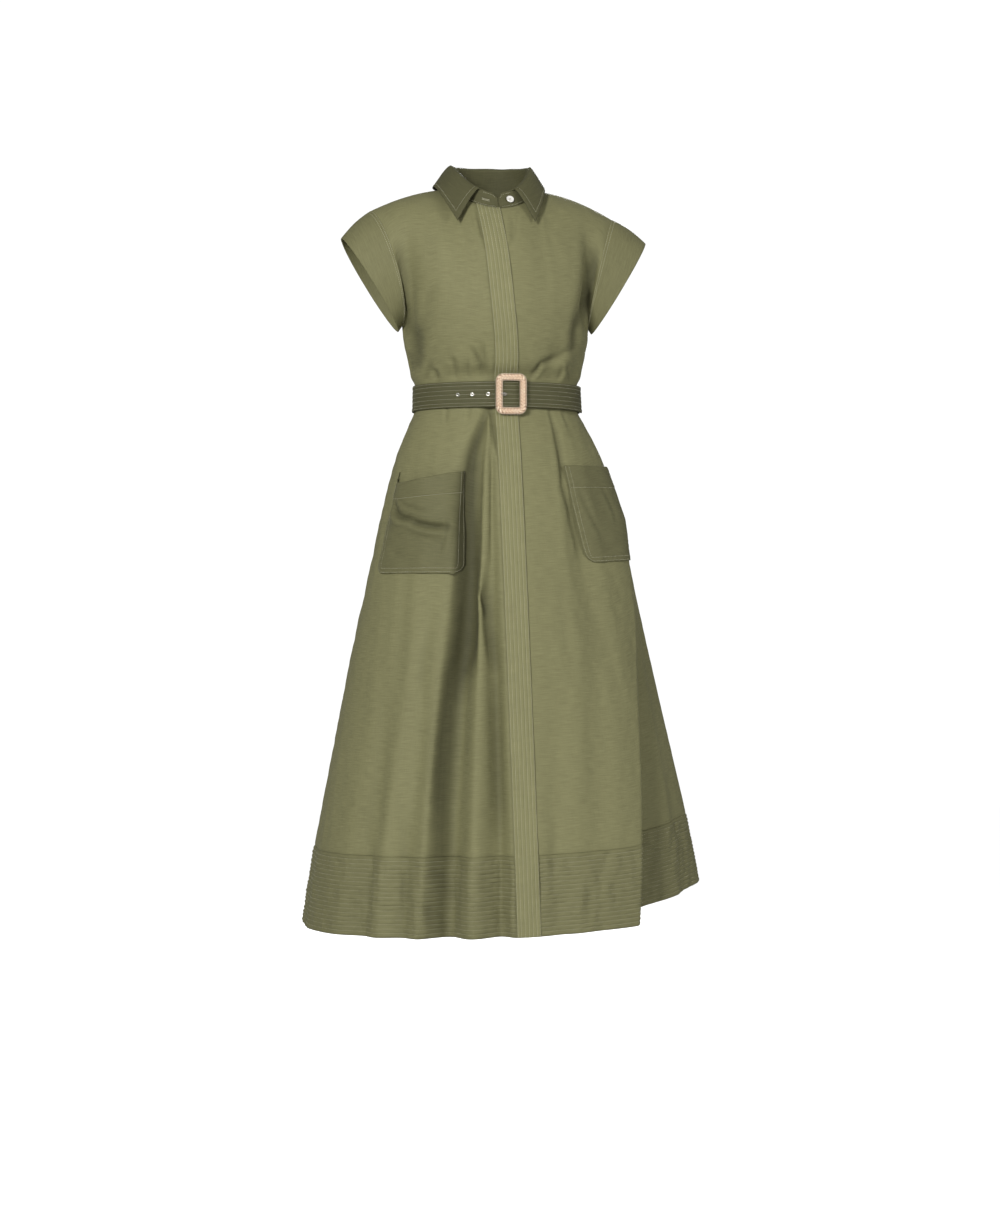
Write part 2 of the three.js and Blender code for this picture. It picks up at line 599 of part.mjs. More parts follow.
// The neckline as it is cut: the top points of the three bodice panels, by turn round the neck. Turn 0 is
// the centre front, 90 the wearer's right, 180 the centre back.
const neckTop = bodiceLevels[bodiceLevels.length - 1];
const neckEdge = [
  ...[...rightShares.keys(), rightShares.length, rightShares.length + 1].map((k) => ({
    side: "front", u: rightColumn(k, neckTop),
  })),
  ...[0, 1, 2, 3, 4, 5, 6].map((k) => ({ side: "front", u: leftColumn(k, neckTop) })),
  ...backShares.map((u) => ({ side: "back", u })),
].filter(({ side, u }) => Math.abs(u) <= NECK_SHARE[side] + 1e-6).map(({ side, u }) => {
  const quarter = (90 * u) / NECK_SHARE[side];
  const turn = side === "front" ? (360 - quarter) % 360 : 180 + quarter;
  return { turn, at: bodice(side, u, neckTop) };
}).sort((a, b) => a.turn - b.turn);
function neckAt(turn) {
  const t = ((turn % 360) + 360) % 360;
  const n = neckEdge.length;
  const j = neckEdge.findIndex((row) => row.turn > t);
  const b = neckEdge[j < 0 ? 0 : j];
  const a = neckEdge[(j < 0 ? n - 1 : j - 1 + n) % n];
  const span = ((b.turn - a.turn) % 360 + 360) % 360 || 1;
  const far = ((t - a.turn) % 360 + 360) % 360;
  return a.at.clone().lerp(b.at, far / span);
}

// Collar stand, from its right end at the centre front (turn 0) round the back (180) to its left end (360)
function standEdge(turn, height) {
  const c = Math.cos(rad(turn));
  const top = point(
    -STAND_TOP.halfWidth * Math.sin(rad(turn)),
    -(c > 0 ? STAND_TOP.front : STAND_TOP.back) * c,
    lerp(STAND_TOP.sideZ, c > 0 ? STAND_TOP.frontZ : STAND_TOP.backZ, Math.abs(c) ** 1.5),
  );
  return neckAt(turn).lerp(top, height);
}
function standNormal(turn) {
  const ahead = standEdge(turn + 2, 0.5).sub(standEdge(turn - 2, 0.5));
  return ahead.cross(point(0, 0, 1)).normalize();
}
const standStart = degrees(STAND_END_GAP / 2 / NECK.halfWidth);
const roundedEnd = (turn) => 1 - 0.34 * bell(Math.min(turn - standStart, 360 - standStart - turn) / 4.5);
const standSheet = (far) => (turn, share) => standEdge(turn, lerp(0.018, roundedEnd(turn), share))
  .addScaledVector(standNormal(turn), far);
piece("collar_stand", wall({
  us: [standStart, 3.5, 7, 12, ...neckEdge.map((row) => row.turn), 348, 353, 356.5, 360 - standStart]
    .sort((a, b) => a - b)
    .filter((turn, i, all) => i === 0 || turn - all[i - 1] > 0.6),
  vs: [0, 0.5, 1],
  outer: standSheet(-DOUBLE_CLOTH / 2),
  inner: standSheet(DOUBLE_CLOTH / 2),
}));

// Collar, from the stand's top edge over and down to its outer edge. q runs from the right point to the left.
function collarSheet(far) {
  return (q, share) => {
    const turn = lerp(COLLAR_START, 360 - COLLAR_START, q);
    const fold = standEdge(turn, 1).add(point(0, 0, DOUBLE_CLOTH));
    const pointTurn = degrees(Math.asin(COLLAR_POINT.x / COLLAR_EDGE.halfWidth));
    const edgeTurn = lerp(pointTurn, 360 - pointTurn, q);
    const c = Math.cos(rad(edgeTurn));
    const drop = (c / Math.cos(rad(pointTurn))) ** 2;
    const edge = point(
      COLLAR_EDGE.middle - COLLAR_EDGE.halfWidth * Math.sin(rad(edgeTurn)),
      -(c > 0 ? -COLLAR_POINT.y / Math.cos(rad(pointTurn)) : COLLAR_EDGE.back) * c,
      lerp(COLLAR_EDGE.sideZ, c > 0 ? COLLAR_POINT.z : COLLAR_EDGE.backZ, c > 0 ? drop : c * c),
    );
    const out = edge.clone().sub(fold).setZ(0).normalize();
    const roll = COLLAR_ROLL * Math.sin(Math.PI * Math.sqrt(share));
    return fold.lerp(edge, share)
      .addScaledVector(out, roll * 0.8 + far * 0.9)
      .add(point(0, 0, roll * 0.6 + far * 0.45));
  };
}
piece("collar", wall({
  us: [0, 0.025, 0.07, ...steps(18, 0.12, 0.88), 0.93, 0.975, 1],
  vs: [0, 0.1, 0.3, 0.6, 1],
  outer: collarSheet(DOUBLE_CLOTH),
  inner: collarSheet(0),
}));

// Placket: one quilted strip from the neck to the hem, on top of both fronts
const skirtHeights = [-312.2, -336.5, -360, -395, -445, -510, -590, -680, -780, -880, -984.8];
const placketRows = [
  ...[HEM_Z, (HEM_Z + BAND_Z) / 2, ...[...skirtHeights].reverse()].map((height) => ({ height })),
  ...bodiceLevels.slice(1).filter((level) => level < 1.92).map((level) => ({ level })),
];
function placketPoint(across, row, far) {
  const { height, level } = placketRows[row];
  const offset = (across * PLACKET_WIDTH) / 2;
  if (height !== undefined) {
    const angle = degrees(Math.asin((placketDrift(height) + offset) / skirtWidth(height)));
    return offSkirt(angle, height, far);
  }
  return offBodice("front", bodiceShareAt(bodicePlacketX(level) + offset, level), level, far);
}
const overBand = ({ height }) => (height !== undefined && height < BAND_Z + 1 ? BAND_RELIEF : 0);
piece("placket", wall({
  us: steps(PLACKET_CHANNELS * 2, -1, 1),
  vs: [...placketRows.keys()],
  innerUs: steps(4, -1, 1),
  outer: (across, row) => {
    const raised = ridged((across + 1) / 2, PLACKET_CHANNELS, PLACKET_RELIEF);
    return placketPoint(across, row, LAYER_GAP + overBand(placketRows[row]) + CLOTH + raised);
  },
  inner: (across, row) => placketPoint(across, row, LAYER_GAP + overBand(placketRows[row])),
}));

// Skirt panels and the quilted bands under them, in columns that follow the lines of the skirt
const skirtPanels = [
  { name: "front_right", from: "right side seam", to: "front opening" },
  { name: "front_left", from: "front opening", to: "left side seam" },
  { name: "back", from: "left side seam", to: "right side seam again" },
];
const skirtCuts = skirtPanels.map(({ name, from, to }) => {
  const first = lineNumber(from);
  const last = lineNumber(to);
  const columns = [first];
  for (let line = first + 1; line <= last; line += 1) {
    const { cuts } = skirtLines[line];
    for (let cut = 1; cut <= cuts; cut += 1) columns.push(line - 1 + cut / cuts);
  }
  const angleAt = (k, height) => {
    const line = Math.min(skirtLines.length - 2, Math.floor(k));
    const [here, next] = [lineAngle(skirtLines[line], height), lineAngle(skirtLines[line + 1], height)];
    const angle = lerp(here, next, k - line);
    const gap = degrees(SEAM_GAP / 2 / skirtWidth(height)) * (Math.abs(angle) < 20 ? 1.4 : 1.25);
    return k === first ? angle + gap : k === last ? angle - gap : angle;
  };
  piece(`skirt_${name}`, wall({
    us: columns,
    vs: [...skirtHeights].reverse(),
    outer: (k, height) => skirt(angleAt(k, height), height),
    inner: (k, height) => offSkirt(angleAt(k, height), height, -CLOTH),
  }));
  const bandTop = BAND_Z - 0.2;
  piece(`hem_band_${name}`, wall({
    us: columns,
    vs: steps(BAND_CHANNELS * 2, HEM_Z, bandTop),
    innerVs: [HEM_Z, (HEM_Z + bandTop) / 2, bandTop],
    outer: (k, height) => {
      const raised = ridged((height - HEM_Z) / (bandTop - HEM_Z), BAND_CHANNELS, BAND_RELIEF);
      return offSkirt(angleAt(k, height), height, raised);
    },
    inner: (k, height) => offSkirt(angleAt(k, height), height, -DOUBLE_CLOTH),
  }));
  return { from: first, to: last, columns, angleAt };
});

// The skirt as its panels are cut: the point of their flat facets at an angle and a height
function panelPoint(angle, height) {
  const panel = skirtCuts.find(({ from, to }) => angle >= lineAngle(skirtLines[from], height)
    && angle <= lineAngle(skirtLines[to], height));
  let row = 0;
  while (row < skirtHeights.length - 2 && height < skirtHeights[row + 1]) row += 1;
  const [high, low] = [skirtHeights[row], skirtHeights[row + 1]];
  const v = (height - low) / (high - low);
  const lowAngles = panel.columns.map((k) => panel.angleAt(k, low));
  const highAngles = panel.columns.map((k) => panel.angleAt(k, high));
  let c = 0;
  while (c < panel.columns.length - 2 && angle > lerp(lowAngles[c + 1], highAngles[c + 1], v)) c += 1;
  const start = lerp(lowAngles[c], highAngles[c], v);
  const u = clamp01((angle - start) / (lerp(lowAngles[c + 1], highAngles[c + 1], v) - start));
  const a = skirt(lowAngles[c], low);
  const b = skirt(lowAngles[c + 1], low);
  const d = skirt(highAngles[c], high);
  const e = skirt(highAngles[c + 1], high);
  return u >= v
    ? a.clone().addScaledVector(b.clone().sub(a), u).addScaledVector(e.sub(b), v)
    : a.clone().addScaledVector(d.clone().sub(a), v).addScaledVector(e.sub(d), u);
}

// Patch pockets with rounded lower corners and a turned hem at the mouth; the right one stands open.
const pockets = [
  { name: "right", top: -425, bottom: -576, lowTop: -70, lowBottom: -73,
    highTop: -21, highBottom: -20.5, gape: 20, sag: 17 },
  { name: "left", top: -417, bottom: -563, lowTop: 34, lowBottom: 38,
    highTop: 82, highBottom: 77, gape: 2.4, sag: 0 },
];
pockets.forEach(({ name, top, bottom, lowTop, lowBottom, highTop, highBottom, gape, sag }) => {
  const span = top - bottom;
  const edges = (t) => {
    const rise = t * span;
    const cut = rise < POCKET.corner
      ? POCKET.corner - Math.sqrt(POCKET.corner ** 2 - (POCKET.corner - rise) ** 2)
      : 0;
    const inset = degrees(cut / skirtWidth(bottom + rise));
    return [lerp(lowBottom, lowTop, t) + inset, lerp(highBottom, highTop, t) - inset];
  };
  // The pocket's inner columns lie on the skirt's own columns, so that it follows the folds below it.
  const middle = bottom + span / 2;
  const covered = (angle) => angle > edges(0.5)[0] + 2 && angle < edges(0.5)[1] - 2;
  const inner = skirtCuts.flatMap(({ columns, angleAt }) => columns
    .filter((k) => covered(angleAt(k, middle)))
    .map((k) => (height) => angleAt(k, height)));
  const at = (column, t, extra) => {
    const [low, high] = edges(t);
    const height = bottom + t * span;
    const room = inner.length + 1;
    const wanted = column === 0 ? low : column === room ? high : inner[column - 1](height);
    const angle = Math.min(high - 0.5 * (room - column), Math.max(low + 0.5 * column, wanted));
    const s = (angle - low) / (high - low);
    const open = gape * Math.sin(Math.PI * clamp01(s)) ** 0.8 * smooth((t - 0.3) / 0.7);
    const level = height - sag * Math.sin(Math.PI * clamp01(s) ** 0.43) * t ** 3;
    return panelPoint(angle, level).addScaledVector(skirtNormal(angle, level), POCKET.gap + open + extra);
  };
  const hem = 1 - POCKET.hem / span;
  const onRows = skirtHeights.map((height) => (height - bottom) / span).filter((t) => t > 0.15 && t < 0.95);
  const rows = [0, 0.015, 0.05, 0.11, 0.24, 0.6, hem - 0.006, hem + 0.006, 1, ...onRows];
  piece(`pocket_${name}`, wall({
    us: [0, ...inner.map((_, i) => i + 1), inner.length + 1],
    vs: rows.sort((a, b) => a - b),
    outer: (column, t) => at(column, t, CLOTH + (t > hem ? POCKET.hemRelief : 0)),
    inner: (column, t) => at(column, t, 0),
  }));
});

// Belt: one strap that starts beside the buckle's pin, goes round by the left side and the back, passes
// over its own start at the front and ends at the left side.
const BELT_START = BUCKLE.angle + 2.2;
const BELT_END = 360 + BELT_TAIL_END;
const LAYER = BELT_CLOTH + BELT_RELIEF + 0.4;
function beltPoint(turn, down, far) {
  const tilt = 2 * Math.cos(rad(turn)) - 2;
  const z = BELT_TOP_Z + tilt - BELT_WIDTH * down;
  const [width, front, back] = z > WAIST_Z
    ? [bodiceWidth(z), bodiceFront(z), bodiceBack(z)]
    : [skirtWidth(z), skirtFront(z), skirtBack(z)];
  const c = Math.cos(rad(turn));
  const overPlacket = 2.6 * (1 - between(9, 18, Math.abs(turned(turn) - 1)));
  const out = 1.3 + overPlacket + between(322, 354, turn) * LAYER + far;
  return point(
    lean(z) + (width + out) * Math.sin(rad(turn)),
    -((c > 0 ? front : back) + out) * c,
    z,
  );
}
// The end of the tail narrows to a blunt point.
const tailNarrow = (turn) => 0.4 * clamp01((turn - (BELT_END - 9)) / 9) ** 1.5;
const beltSheet = (relief) => (turn, up) => {
  const narrow = tailNarrow(turn);
  return beltPoint(turn, lerp(1 - narrow, narrow, up), relief(up));
};
const roundBack = steps(33, BELT_START, 318);
const overStart = steps(13, 324, 390);
const tail = [...steps(6, 399, BELT_END - 9), BELT_END - 4, BELT_END];
const strapWall = wall({
  us: [...roundBack, ...overStart, ...tail],
  vs: steps(BELT_CHANNELS * 2),
  innerVs: [0, 0.5, 1],
  outer: beltSheet((up) => BELT_CLOTH + ridged(up, BELT_CHANNELS, BELT_RELIEF)),
  inner: beltSheet(() => 0),
});

// Turns an outline of radius and height round the outward direction at a point
function turnedOn(profile, segments, at, outward) {
  const g = new THREE.LatheGeometry(profile.map(([r, y]) => new THREE.Vector2(r, y)), segments);
  g.applyQuaternion(new THREE.Quaternion().setFromUnitVectors(point(0, 1, 0), outward));
  g.translate(at.x, at.y, at.z);
  return closed([...g.attributes.position.array], [...g.index.array]);
}
function strapFrame(turn) {
  const at = beltPoint(turn, 0.5, 0);
  const ahead = beltPoint(turn + 0.5, 0.5, 0).sub(beltPoint(turn - 0.5, 0.5, 0));
  return { at, outward: ahead.cross(point(0, 0, 1)).normalize() };
}
const lastEyeletTurn = BUCKLE.angle - degrees(EYELET.lastToBuckle / (skirtWidth(WAIST_Z) + 6));
const eyeletTop = BELT_CLOTH + BELT_RELIEF + 0.4;
const eyeletProfile = [
  [EYELET.hole, 0.1],
  [EYELET.hole + 0.5, 0.1],
  [EYELET.hole + 0.5, eyeletTop],
  [EYELET.radius, eyeletTop],
  [EYELET.hole + 0.6, eyeletTop + 0.7],
  [EYELET.hole, eyeletTop + 0.3],
  [EYELET.hole, 0.1],
];
let strap = asManifold(strapWall);
[...EYELET_TURNS, lastEyeletTurn].forEach((turn, n) => {
  const { at, outward } = strapFrame(360 + turn);
  const cutter = [[0, -1], [EYELET.hole + 0.8, -1], [EYELET.hole + 0.8, 6], [0, 6]];
  const punch = turnedOn(cutter, 12, at, outward);
  strap = strap.subtract(asManifold(punch));
  piece(`eyelet_${n + 1}`, turnedOn(eyeletProfile, 12, at, outward), "steel");
});
piece("belt", fromManifold(strap));

// Buckle: a flat frame with round corners, and a pin set back behind the strap. Points are measured from
// the strap's outside at the buckle's middle: x across, y outwards, z up.
const buckleMiddle = beltPoint(360 + BUCKLE.angle, 0.5, 0);
const onBuckle = (x, out, z) => point(buckleMiddle.x + x, buckleMiddle.y - out, buckleMiddle.z + z);
const frameOut = BELT_CLOTH + BELT_RELIEF + 0.9 + BUCKLE.thickness / 2;
const pinOut = -BUCKLE.pin - 0.45;
function roundedPath(width, height, corner) {
  const w = width / 2 - corner;
  const h = height / 2 - corner;
  const corners = [[w, h, 0], [-w, h, 90], [-w, -h, 180], [w, -h, 270]];
  return corners.flatMap(([x, z, start]) => steps(3).map((t) => {
    const turn = rad(start + 90 * t);
    return [x + corner * Math.cos(turn), z + corner * Math.sin(turn), Math.cos(turn), Math.sin(turn)];
  }));
}
// Half of the frame, from its widest line (v 0) out to its front face or in to its back face (v 1)
function buckleHalf(faceShare, fromOut, toOut) {
  const path = roundedPath(BUCKLE.width - BUCKLE.band, BUCKLE.height - BUCKLE.band, BUCKLE.corner - 3);
  const at = (k, across, out) => {
    const [x, z, dx, dz] = path[k % path.length];
    const wide = (BUCKLE.band / 2) * across;
    return onBuckle(x + dx * wide, frameOut + (BUCKLE.thickness / 2) * out, z + dz * wide);
  };
  return asManifold(wall({
    us: steps(path.length, 0, path.length),
    vs: [0, 1],
    round: true,
    outer: (k, v) => at(k, lerp(1, faceShare, v), lerp(fromOut, toOut, v)),
    inner: (k, v) => at(k, -lerp(1, faceShare, v), lerp(fromOut, toOut, v)),
  }));
}
const buckleFrame = buckleHalf(0.55, 0, 1).add(buckleHalf(0.7, 0.001, -1));
function rod(radius, stations, segments = 8) {
  const positions = [];
  const index = [];
  stations.forEach((p, i) => {
    const a = stations[Math.max(0, i - 1)];
    const b = stations[Math.min(stations.length - 1, i + 1)];
    const ahead = b.clone().sub(a).normalize();
    const side = Math.abs(ahead.z) > 0.9 ? point(1, 0, 0) : point(0, 0, 1);
    const across = side.clone().cross(ahead).normalize();
    const other = ahead.clone().cross(across);
    for (let k = 0; k < segments; k += 1) {
      const turn = (2 * Math.PI * k) / segments;
      const q = p.clone()
        .addScaledVector(across, radius * Math.cos(turn))
        .addScaledVector(other, radius * Math.sin(turn));
      positions.push(q.x, q.y, q.z);
    }
  });
  for (let i = 0; i < stations.length - 1; i += 1) {
    for (let k = 0; k < segments; k += 1) {
      const a = i * segments + k;
      const b = i * segments + ((k + 1) % segments);
      index.push(a, b, b + segments, a, b + segments, a + segments);
    }
  }
  const end = (stations.length - 1) * segments;
  for (let k = 1; k < segments - 1; k += 1) {
    index.push(0, k + 1, k, end, end + k, end + k + 1);
  }
  return closed(positions, index);
}
const pinTop = BUCKLE.height / 2 - BUCKLE.band / 2 - 1.5;
const pin = rod(BUCKLE.pin, [
  onBuckle(0, frameOut, -pinTop),
  onBuckle(0, pinOut + 0.8, -pinTop),
  onBuckle(0, pinOut, -pinTop + 1.6),
  onBuckle(0, pinOut, pinTop - 1.6),
  onBuckle(0, pinOut + 0.8, pinTop),
  onBuckle(0, frameOut, pinTop),
]);
piece("buckle", fromManifold(buckleFrame.add(asManifold(pin))), "straw");

// Prong: from beside the pin, out through the last eyelet, its tip on the frame's right-hand side
const hole = -EYELET.lastToBuckle;
const prongTop = frameOut + BUCKLE.thickness / 2 + 1.3;
piece("buckle_prong", rod(0.9, [
  onBuckle(-BUCKLE.pin - 1.4, pinOut, 0),
  onBuckle(hole + 0.8, pinOut, 0),
  onBuckle(hole, pinOut + 1, 0),
  onBuckle(hole, prongTop - 1.2, 0),
  onBuckle(hole - 1.6, prongTop, 0),
  onBuckle(hole - 6.6, prongTop + 0.2, 0),
]), "steel");

// Button on the left end of the stand
const buttonTurn = 360 - 17;
const buttonUp = standEdge(buttonTurn, 0.7).sub(standEdge(buttonTurn, 0.2)).normalize();
const buttonAlong = standEdge(buttonTurn + 2, 0.42).sub(standEdge(buttonTurn - 2, 0.42));
const buttonOut = buttonUp.clone().cross(buttonAlong).normalize();
const buttonAt = standEdge(buttonTurn, 0.42).addScaledVector(buttonOut, DOUBLE_CLOTH / 2 + 0.7);
const buttonProfile = [[0, 0], [4.4, 0], [5.7, 0.9], [5.7, 1.7], [5, 2.3], [3.8, 1.7], [0, 1.6]];
piece("button", turnedOn(buttonProfile, 16, buttonAt, buttonOut), "shell");

export default dress;
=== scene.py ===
# %% [markdown]
# # A belted shirt dress
# The dress is filled out as it is worn. Its solids come from the frame, and each piece of cloth is
# laid again here on the same form, finer, with its creases, quilting and stitches.

# %% Load the frame
import math
import bmesh
import bpy
import numpy as np
from mathutils import Matrix, Vector


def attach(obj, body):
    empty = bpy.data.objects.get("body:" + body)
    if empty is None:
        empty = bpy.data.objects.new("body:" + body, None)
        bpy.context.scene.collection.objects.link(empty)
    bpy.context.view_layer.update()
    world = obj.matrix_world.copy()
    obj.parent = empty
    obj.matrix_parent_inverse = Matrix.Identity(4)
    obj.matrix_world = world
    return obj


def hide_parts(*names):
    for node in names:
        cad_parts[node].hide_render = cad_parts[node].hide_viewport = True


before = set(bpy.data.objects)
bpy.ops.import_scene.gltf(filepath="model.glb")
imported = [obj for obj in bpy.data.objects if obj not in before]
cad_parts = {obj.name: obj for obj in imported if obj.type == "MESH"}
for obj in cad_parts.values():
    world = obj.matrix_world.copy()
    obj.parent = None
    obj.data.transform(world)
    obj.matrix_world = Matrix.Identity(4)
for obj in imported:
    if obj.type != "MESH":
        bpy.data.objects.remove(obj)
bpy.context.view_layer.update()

MM = 0.001
print("solids in the frame:", len(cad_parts))

# %% [markdown]
# The camera looks at the dress from the front, level with the middle of the skirt. It stands four and
# a half metres away and a little to the dress's right. Its angle of view comes from the height that
# the picture shows at that distance, so one measured length sets the size of everything.

# %% Camera
SHOT = {"distance": 4.5, "height": -0.631, "turn": -8, "aside": 0.014, "frame_height": 1.833}
ahead = Vector((-math.sin(math.radians(SHOT["turn"])), math.cos(math.radians(SHOT["turn"])), 0))
right = Vector((ahead.y, -ahead.x, 0))
camera = bpy.data.objects.new("camera", bpy.data.cameras.new("camera"))
camera.location = right * SHOT["aside"] - ahead * SHOT["distance"] + Vector((0, 0, SHOT["height"]))
camera.rotation_euler = (math.radians(90), 0, math.radians(SHOT["turn"]))
camera.data.sensor_fit = "VERTICAL"
camera.data.angle_y = 2 * math.atan(SHOT["frame_height"] / 2 / SHOT["distance"])
bpy.context.collection.objects.link(camera)
bpy.context.scene.camera = camera
print("camera at", tuple(round(c, 3) for c in camera.location))

# %% [markdown]
# The body of the dress is described by small tables: rings at a few heights, and lines that run down
# the skirt as ridges and troughs. It could be sculpted, but numbers keep it on the solids and are easy
# to change one at a time. A smooth curve reads each column between its rows.

# %% Tables and curves
CLOTH, DOUBLE_CLOTH, BELT_CLOTH, LAYER_GAP = 1.2, 1.8, 2.0, 0.6
WAIST_Z, UNDERARM_Z, BAND_Z, HEM_Z = -312, -205, -985, -1100


def table(names, *rows):
    """Rows of numbers under named columns."""
    return {name: np.array(values, float) for name, values in zip(names.split(), zip(*rows))}


def flowing(t, start, end, leave, arrive):
    """A cubic from one value to another, with its direction at both ends."""
    return ((2 * t**3 - 3 * t**2 + 1) * start + (t**3 - 2 * t**2 + t) * leave
            + (3 * t**2 - 2 * t**3) * end + (t**3 - t**2) * arrive)


def curve(rows, by, key):
    """A function that reads one column of a table, with a smooth curve between its rows."""
    xs, ys = rows[by], rows[key]
    slopes = np.gradient(ys, xs)
    slopes[1:-1] = (ys[2:] - ys[:-2]) / (xs[2:] - xs[:-2])

    def read(x):
        x = np.asarray(x, float)
        i = np.searchsorted(xs[1:-1], x, side="left")
        span = xs[i + 1] - xs[i]
        t = np.clip((x - xs[i]) / span, 0, 1)
        return flowing(t, ys[i], ys[i + 1], span * slopes[i], span * slopes[i + 1])

    return read

# %% Small helpers


def smooth(t):
    t = np.clip(t, 0, 1)
    return t * t * (3 - 2 * t)


def between(a, b, t):
    return smooth((t - a) / (b - a))


def bell(t):
    return np.exp(-t * t)


def mix(a, b, t):
    return a + (b - a) * t


def points(x, y, z):
    return np.stack(np.broadcast_arrays(x, y, z), axis=-1).astype(float)


def unit(v):
    return v / np.maximum(np.linalg.norm(v, axis=-1, keepdims=True), 1e-9)


lean = curve(
    table("z x", (-1100, 20), (-700, 14), (-312, 8), (-205, 7), (-40, 2), (0, 0), (60, 0)), "z", "x"
)
skirt_rows = table(
    "z half_width front back",
    (-1100, 303, 242, 258),
    (-985, 283, 226, 238),
    (-850, 255, 202, 210),
    (-700, 223, 173, 180),
    (-570, 193, 148, 157),
    (-480, 173, 131, 140),
    (-400, 151, 113, 120),
    (-350, 130, 97, 99),
    (-335, 123.5, 91.5, 89),
    (-312, 122, 90, 87),
)
skirt_width, skirt_front, skirt_back = (curve(skirt_rows, "z", k) for k in ("half_width", "front", "back"))
print("hem ring:", 2 * skirt_width(HEM_Z), "mm wide")

# %% [markdown]
# The skirt hangs in folds. A cloth simulation would drape it in folds of its own, so these are drawn.
# Each line below is a ridge or a trough: its angle round the body at the waist, the hip, half way down
# and at the hem, and how far it stands out there.

# %% Skirt form
skirt_lines = table(
    "waist hip mid hem out_hip out_mid out_hem",
    (-90, -90, -90, -90, 0, 0, -4),
    (-76, -75, -75, -76, 0, 2, 1),
    (-60, -60, -59, -60, 0, 2, 4),
    (-48, -49, -49, -50, 0, 1, -7),
    (-40, -41, -42, -43, 1, 4, 6),
    (-31, -33, -35, -36.5, 1, 2, -8),
    (-22, -25.5, -28, -30, 2, 6, 6),
    (-13, -18.3, -21, -23.5, -9, -20, -33),
    (-10.5, -13.4, -14, -14.8, 1, 4, 7),
    (-8.5, -9.4, -8.4, -7.2, -8, -12, -23),
    (-7, -5, -3.9, -3, 0, 1, 1),
    (-3.3, -2.3, -1.8, -1.3, 0, 1, 1),
    (9, 7, 5.6, 4.4, 0, 0, 0),
    (17, 15, 12, 9.5, 0, -1, -4),
    (25, 25, 23, 15, 1, 1, 2),
    (33, 33, 36, 20, -7, -3, 0),
    (48, 48, 46, 26, 1, 3, 1),
    (78, 74, 57, 33, 14, 3, 3),
    (81, 78, 62, 38, 13, -3, -26),
    (84, 82, 69, 50, 11, -13, -62),
    (87, 86, 79, 70, 10, -9, -30),
    (90, 90, 90, 90, 9, 0, -5),
    (99, 99, 98, 97, 7, 0, -2),
    (112, 113, 112, 111, -2, -9, -27),
    (126, 127, 128, 129, 0, 5, 8),
    (140, 141, 143, 142, -3, -12, -31),
    (157, 158, 158, 160, 1, 5, 10),
    (174, 175, 176, 177, -4, -15, -34),
    (190, 192, 195, 196, 1, 5, 11),
    (208, 209, 211, 213, -3, -12, -29),
    (226, 227, 229, 230, 0, 4, 8),
    (243, 243, 245, 247, -2, -9, -23),
    (257, 258, 258, 259, 0, 2, 0),
    (270, 270, 270, 270, 0, 0, -4),
)
LINE_Z = {"waist": -335, "hip": -500, "mid": -700}
FRONT_OPENING, LEFT_SIDE = 11, 21

# %% Points of the skirt


def line_values(top, hip, mid, low, z, power):
    """One value of every skirt line at the heights z, as rows for the lines."""
    top, hip, mid, low = (np.asarray(v, float).reshape(-1, 1) for v in (top, hip, mid, low))
    upper = mix(hip, top, np.clip((z - LINE_Z["hip"]) / (LINE_Z["waist"] - LINE_Z["hip"]), 0, 1))
    middle = mix(mid, hip, (z - LINE_Z["mid"]) / (LINE_Z["hip"] - LINE_Z["mid"]))
    down = np.clip((LINE_Z["mid"] - z) / (LINE_Z["mid"] - HEM_Z), 0, 1)
    lower = mix(mid, low, down**power)
    return np.where(z > LINE_Z["hip"], upper, np.where(z > LINE_Z["mid"], middle, lower))


def line_angle(z, number=None):
    keep = slice(None) if number is None else slice(number, number + 1)
    return line_values(*(skirt_lines[k][keep] for k in ("waist", "hip", "mid", "hem")), z, 0.75)


lift_at = curve(
    table(
        "angle lift",
        (-180, 16), (-90, 3), (-40, 1), (0, 5), (20, 11), (36, 17), (55, 36), (78, 56), (100, 63), (140, 42),
        (180, 16),
    ),
    "angle",
    "lift",
)


def skirt(angle, z):
    """A point of the skirt at an angle round the body and a height before the step lifts it."""
    shape = np.broadcast(angle, z).shape
    angle, z = (np.broadcast_to(v, shape).ravel().astype(float) for v in (angle, z))
    at = np.where(angle < -90, angle + 360, np.where(angle > 270, angle - 360, angle))
    angles = line_angle(z)
    flat = np.zeros(len(skirt_lines["hip"]))
    outs = line_values(flat, *(skirt_lines[k] for k in ("out_hip", "out_mid", "out_hem")), z, 0.9)
    i = np.clip((at > angles[1:-1]).sum(axis=0), 0, len(angles) - 2)
    n = np.arange(len(at))
    t = smooth((at - angles[i, n]) / (angles[i + 1, n] - angles[i, n]))
    out = mix(outs[i, n], outs[i + 1, n], t)
    turn = np.radians(at)
    a, b = skirt_width(z), np.where(at <= 90, skirt_front(z), skirt_back(z))
    grow = 1 + out / np.hypot(a * np.sin(turn), b * np.cos(turn))
    share = np.clip((WAIST_Z - z) / (WAIST_Z - HEM_Z), 0, 1)
    lifted = z + lift_at((at + 180) % 360 - 180) * share**1.6
    return points(lean(z) + a * grow * np.sin(turn), -b * grow * np.cos(turn), lifted).reshape(*shape, 3)


def skirt_normal(angle, z):
    across = skirt(angle + 0.25, z) - skirt(angle - 0.25, z)
    up = skirt(angle, z + 0.5) - skirt(angle, z - 0.5)
    n = np.cross(across, up)
    n[..., 2] = 0
    return unit(n)


print("skirt side at the hem:", skirt(90.0, HEM_Z).round(0))

# %% [markdown]
# The bodice is rings below the underarm. Above it the armholes leave no ring to follow, so the cloth
# flows from the underarm ring to the neckline and the shoulder seam along a curve whose two directions
# come from tables.

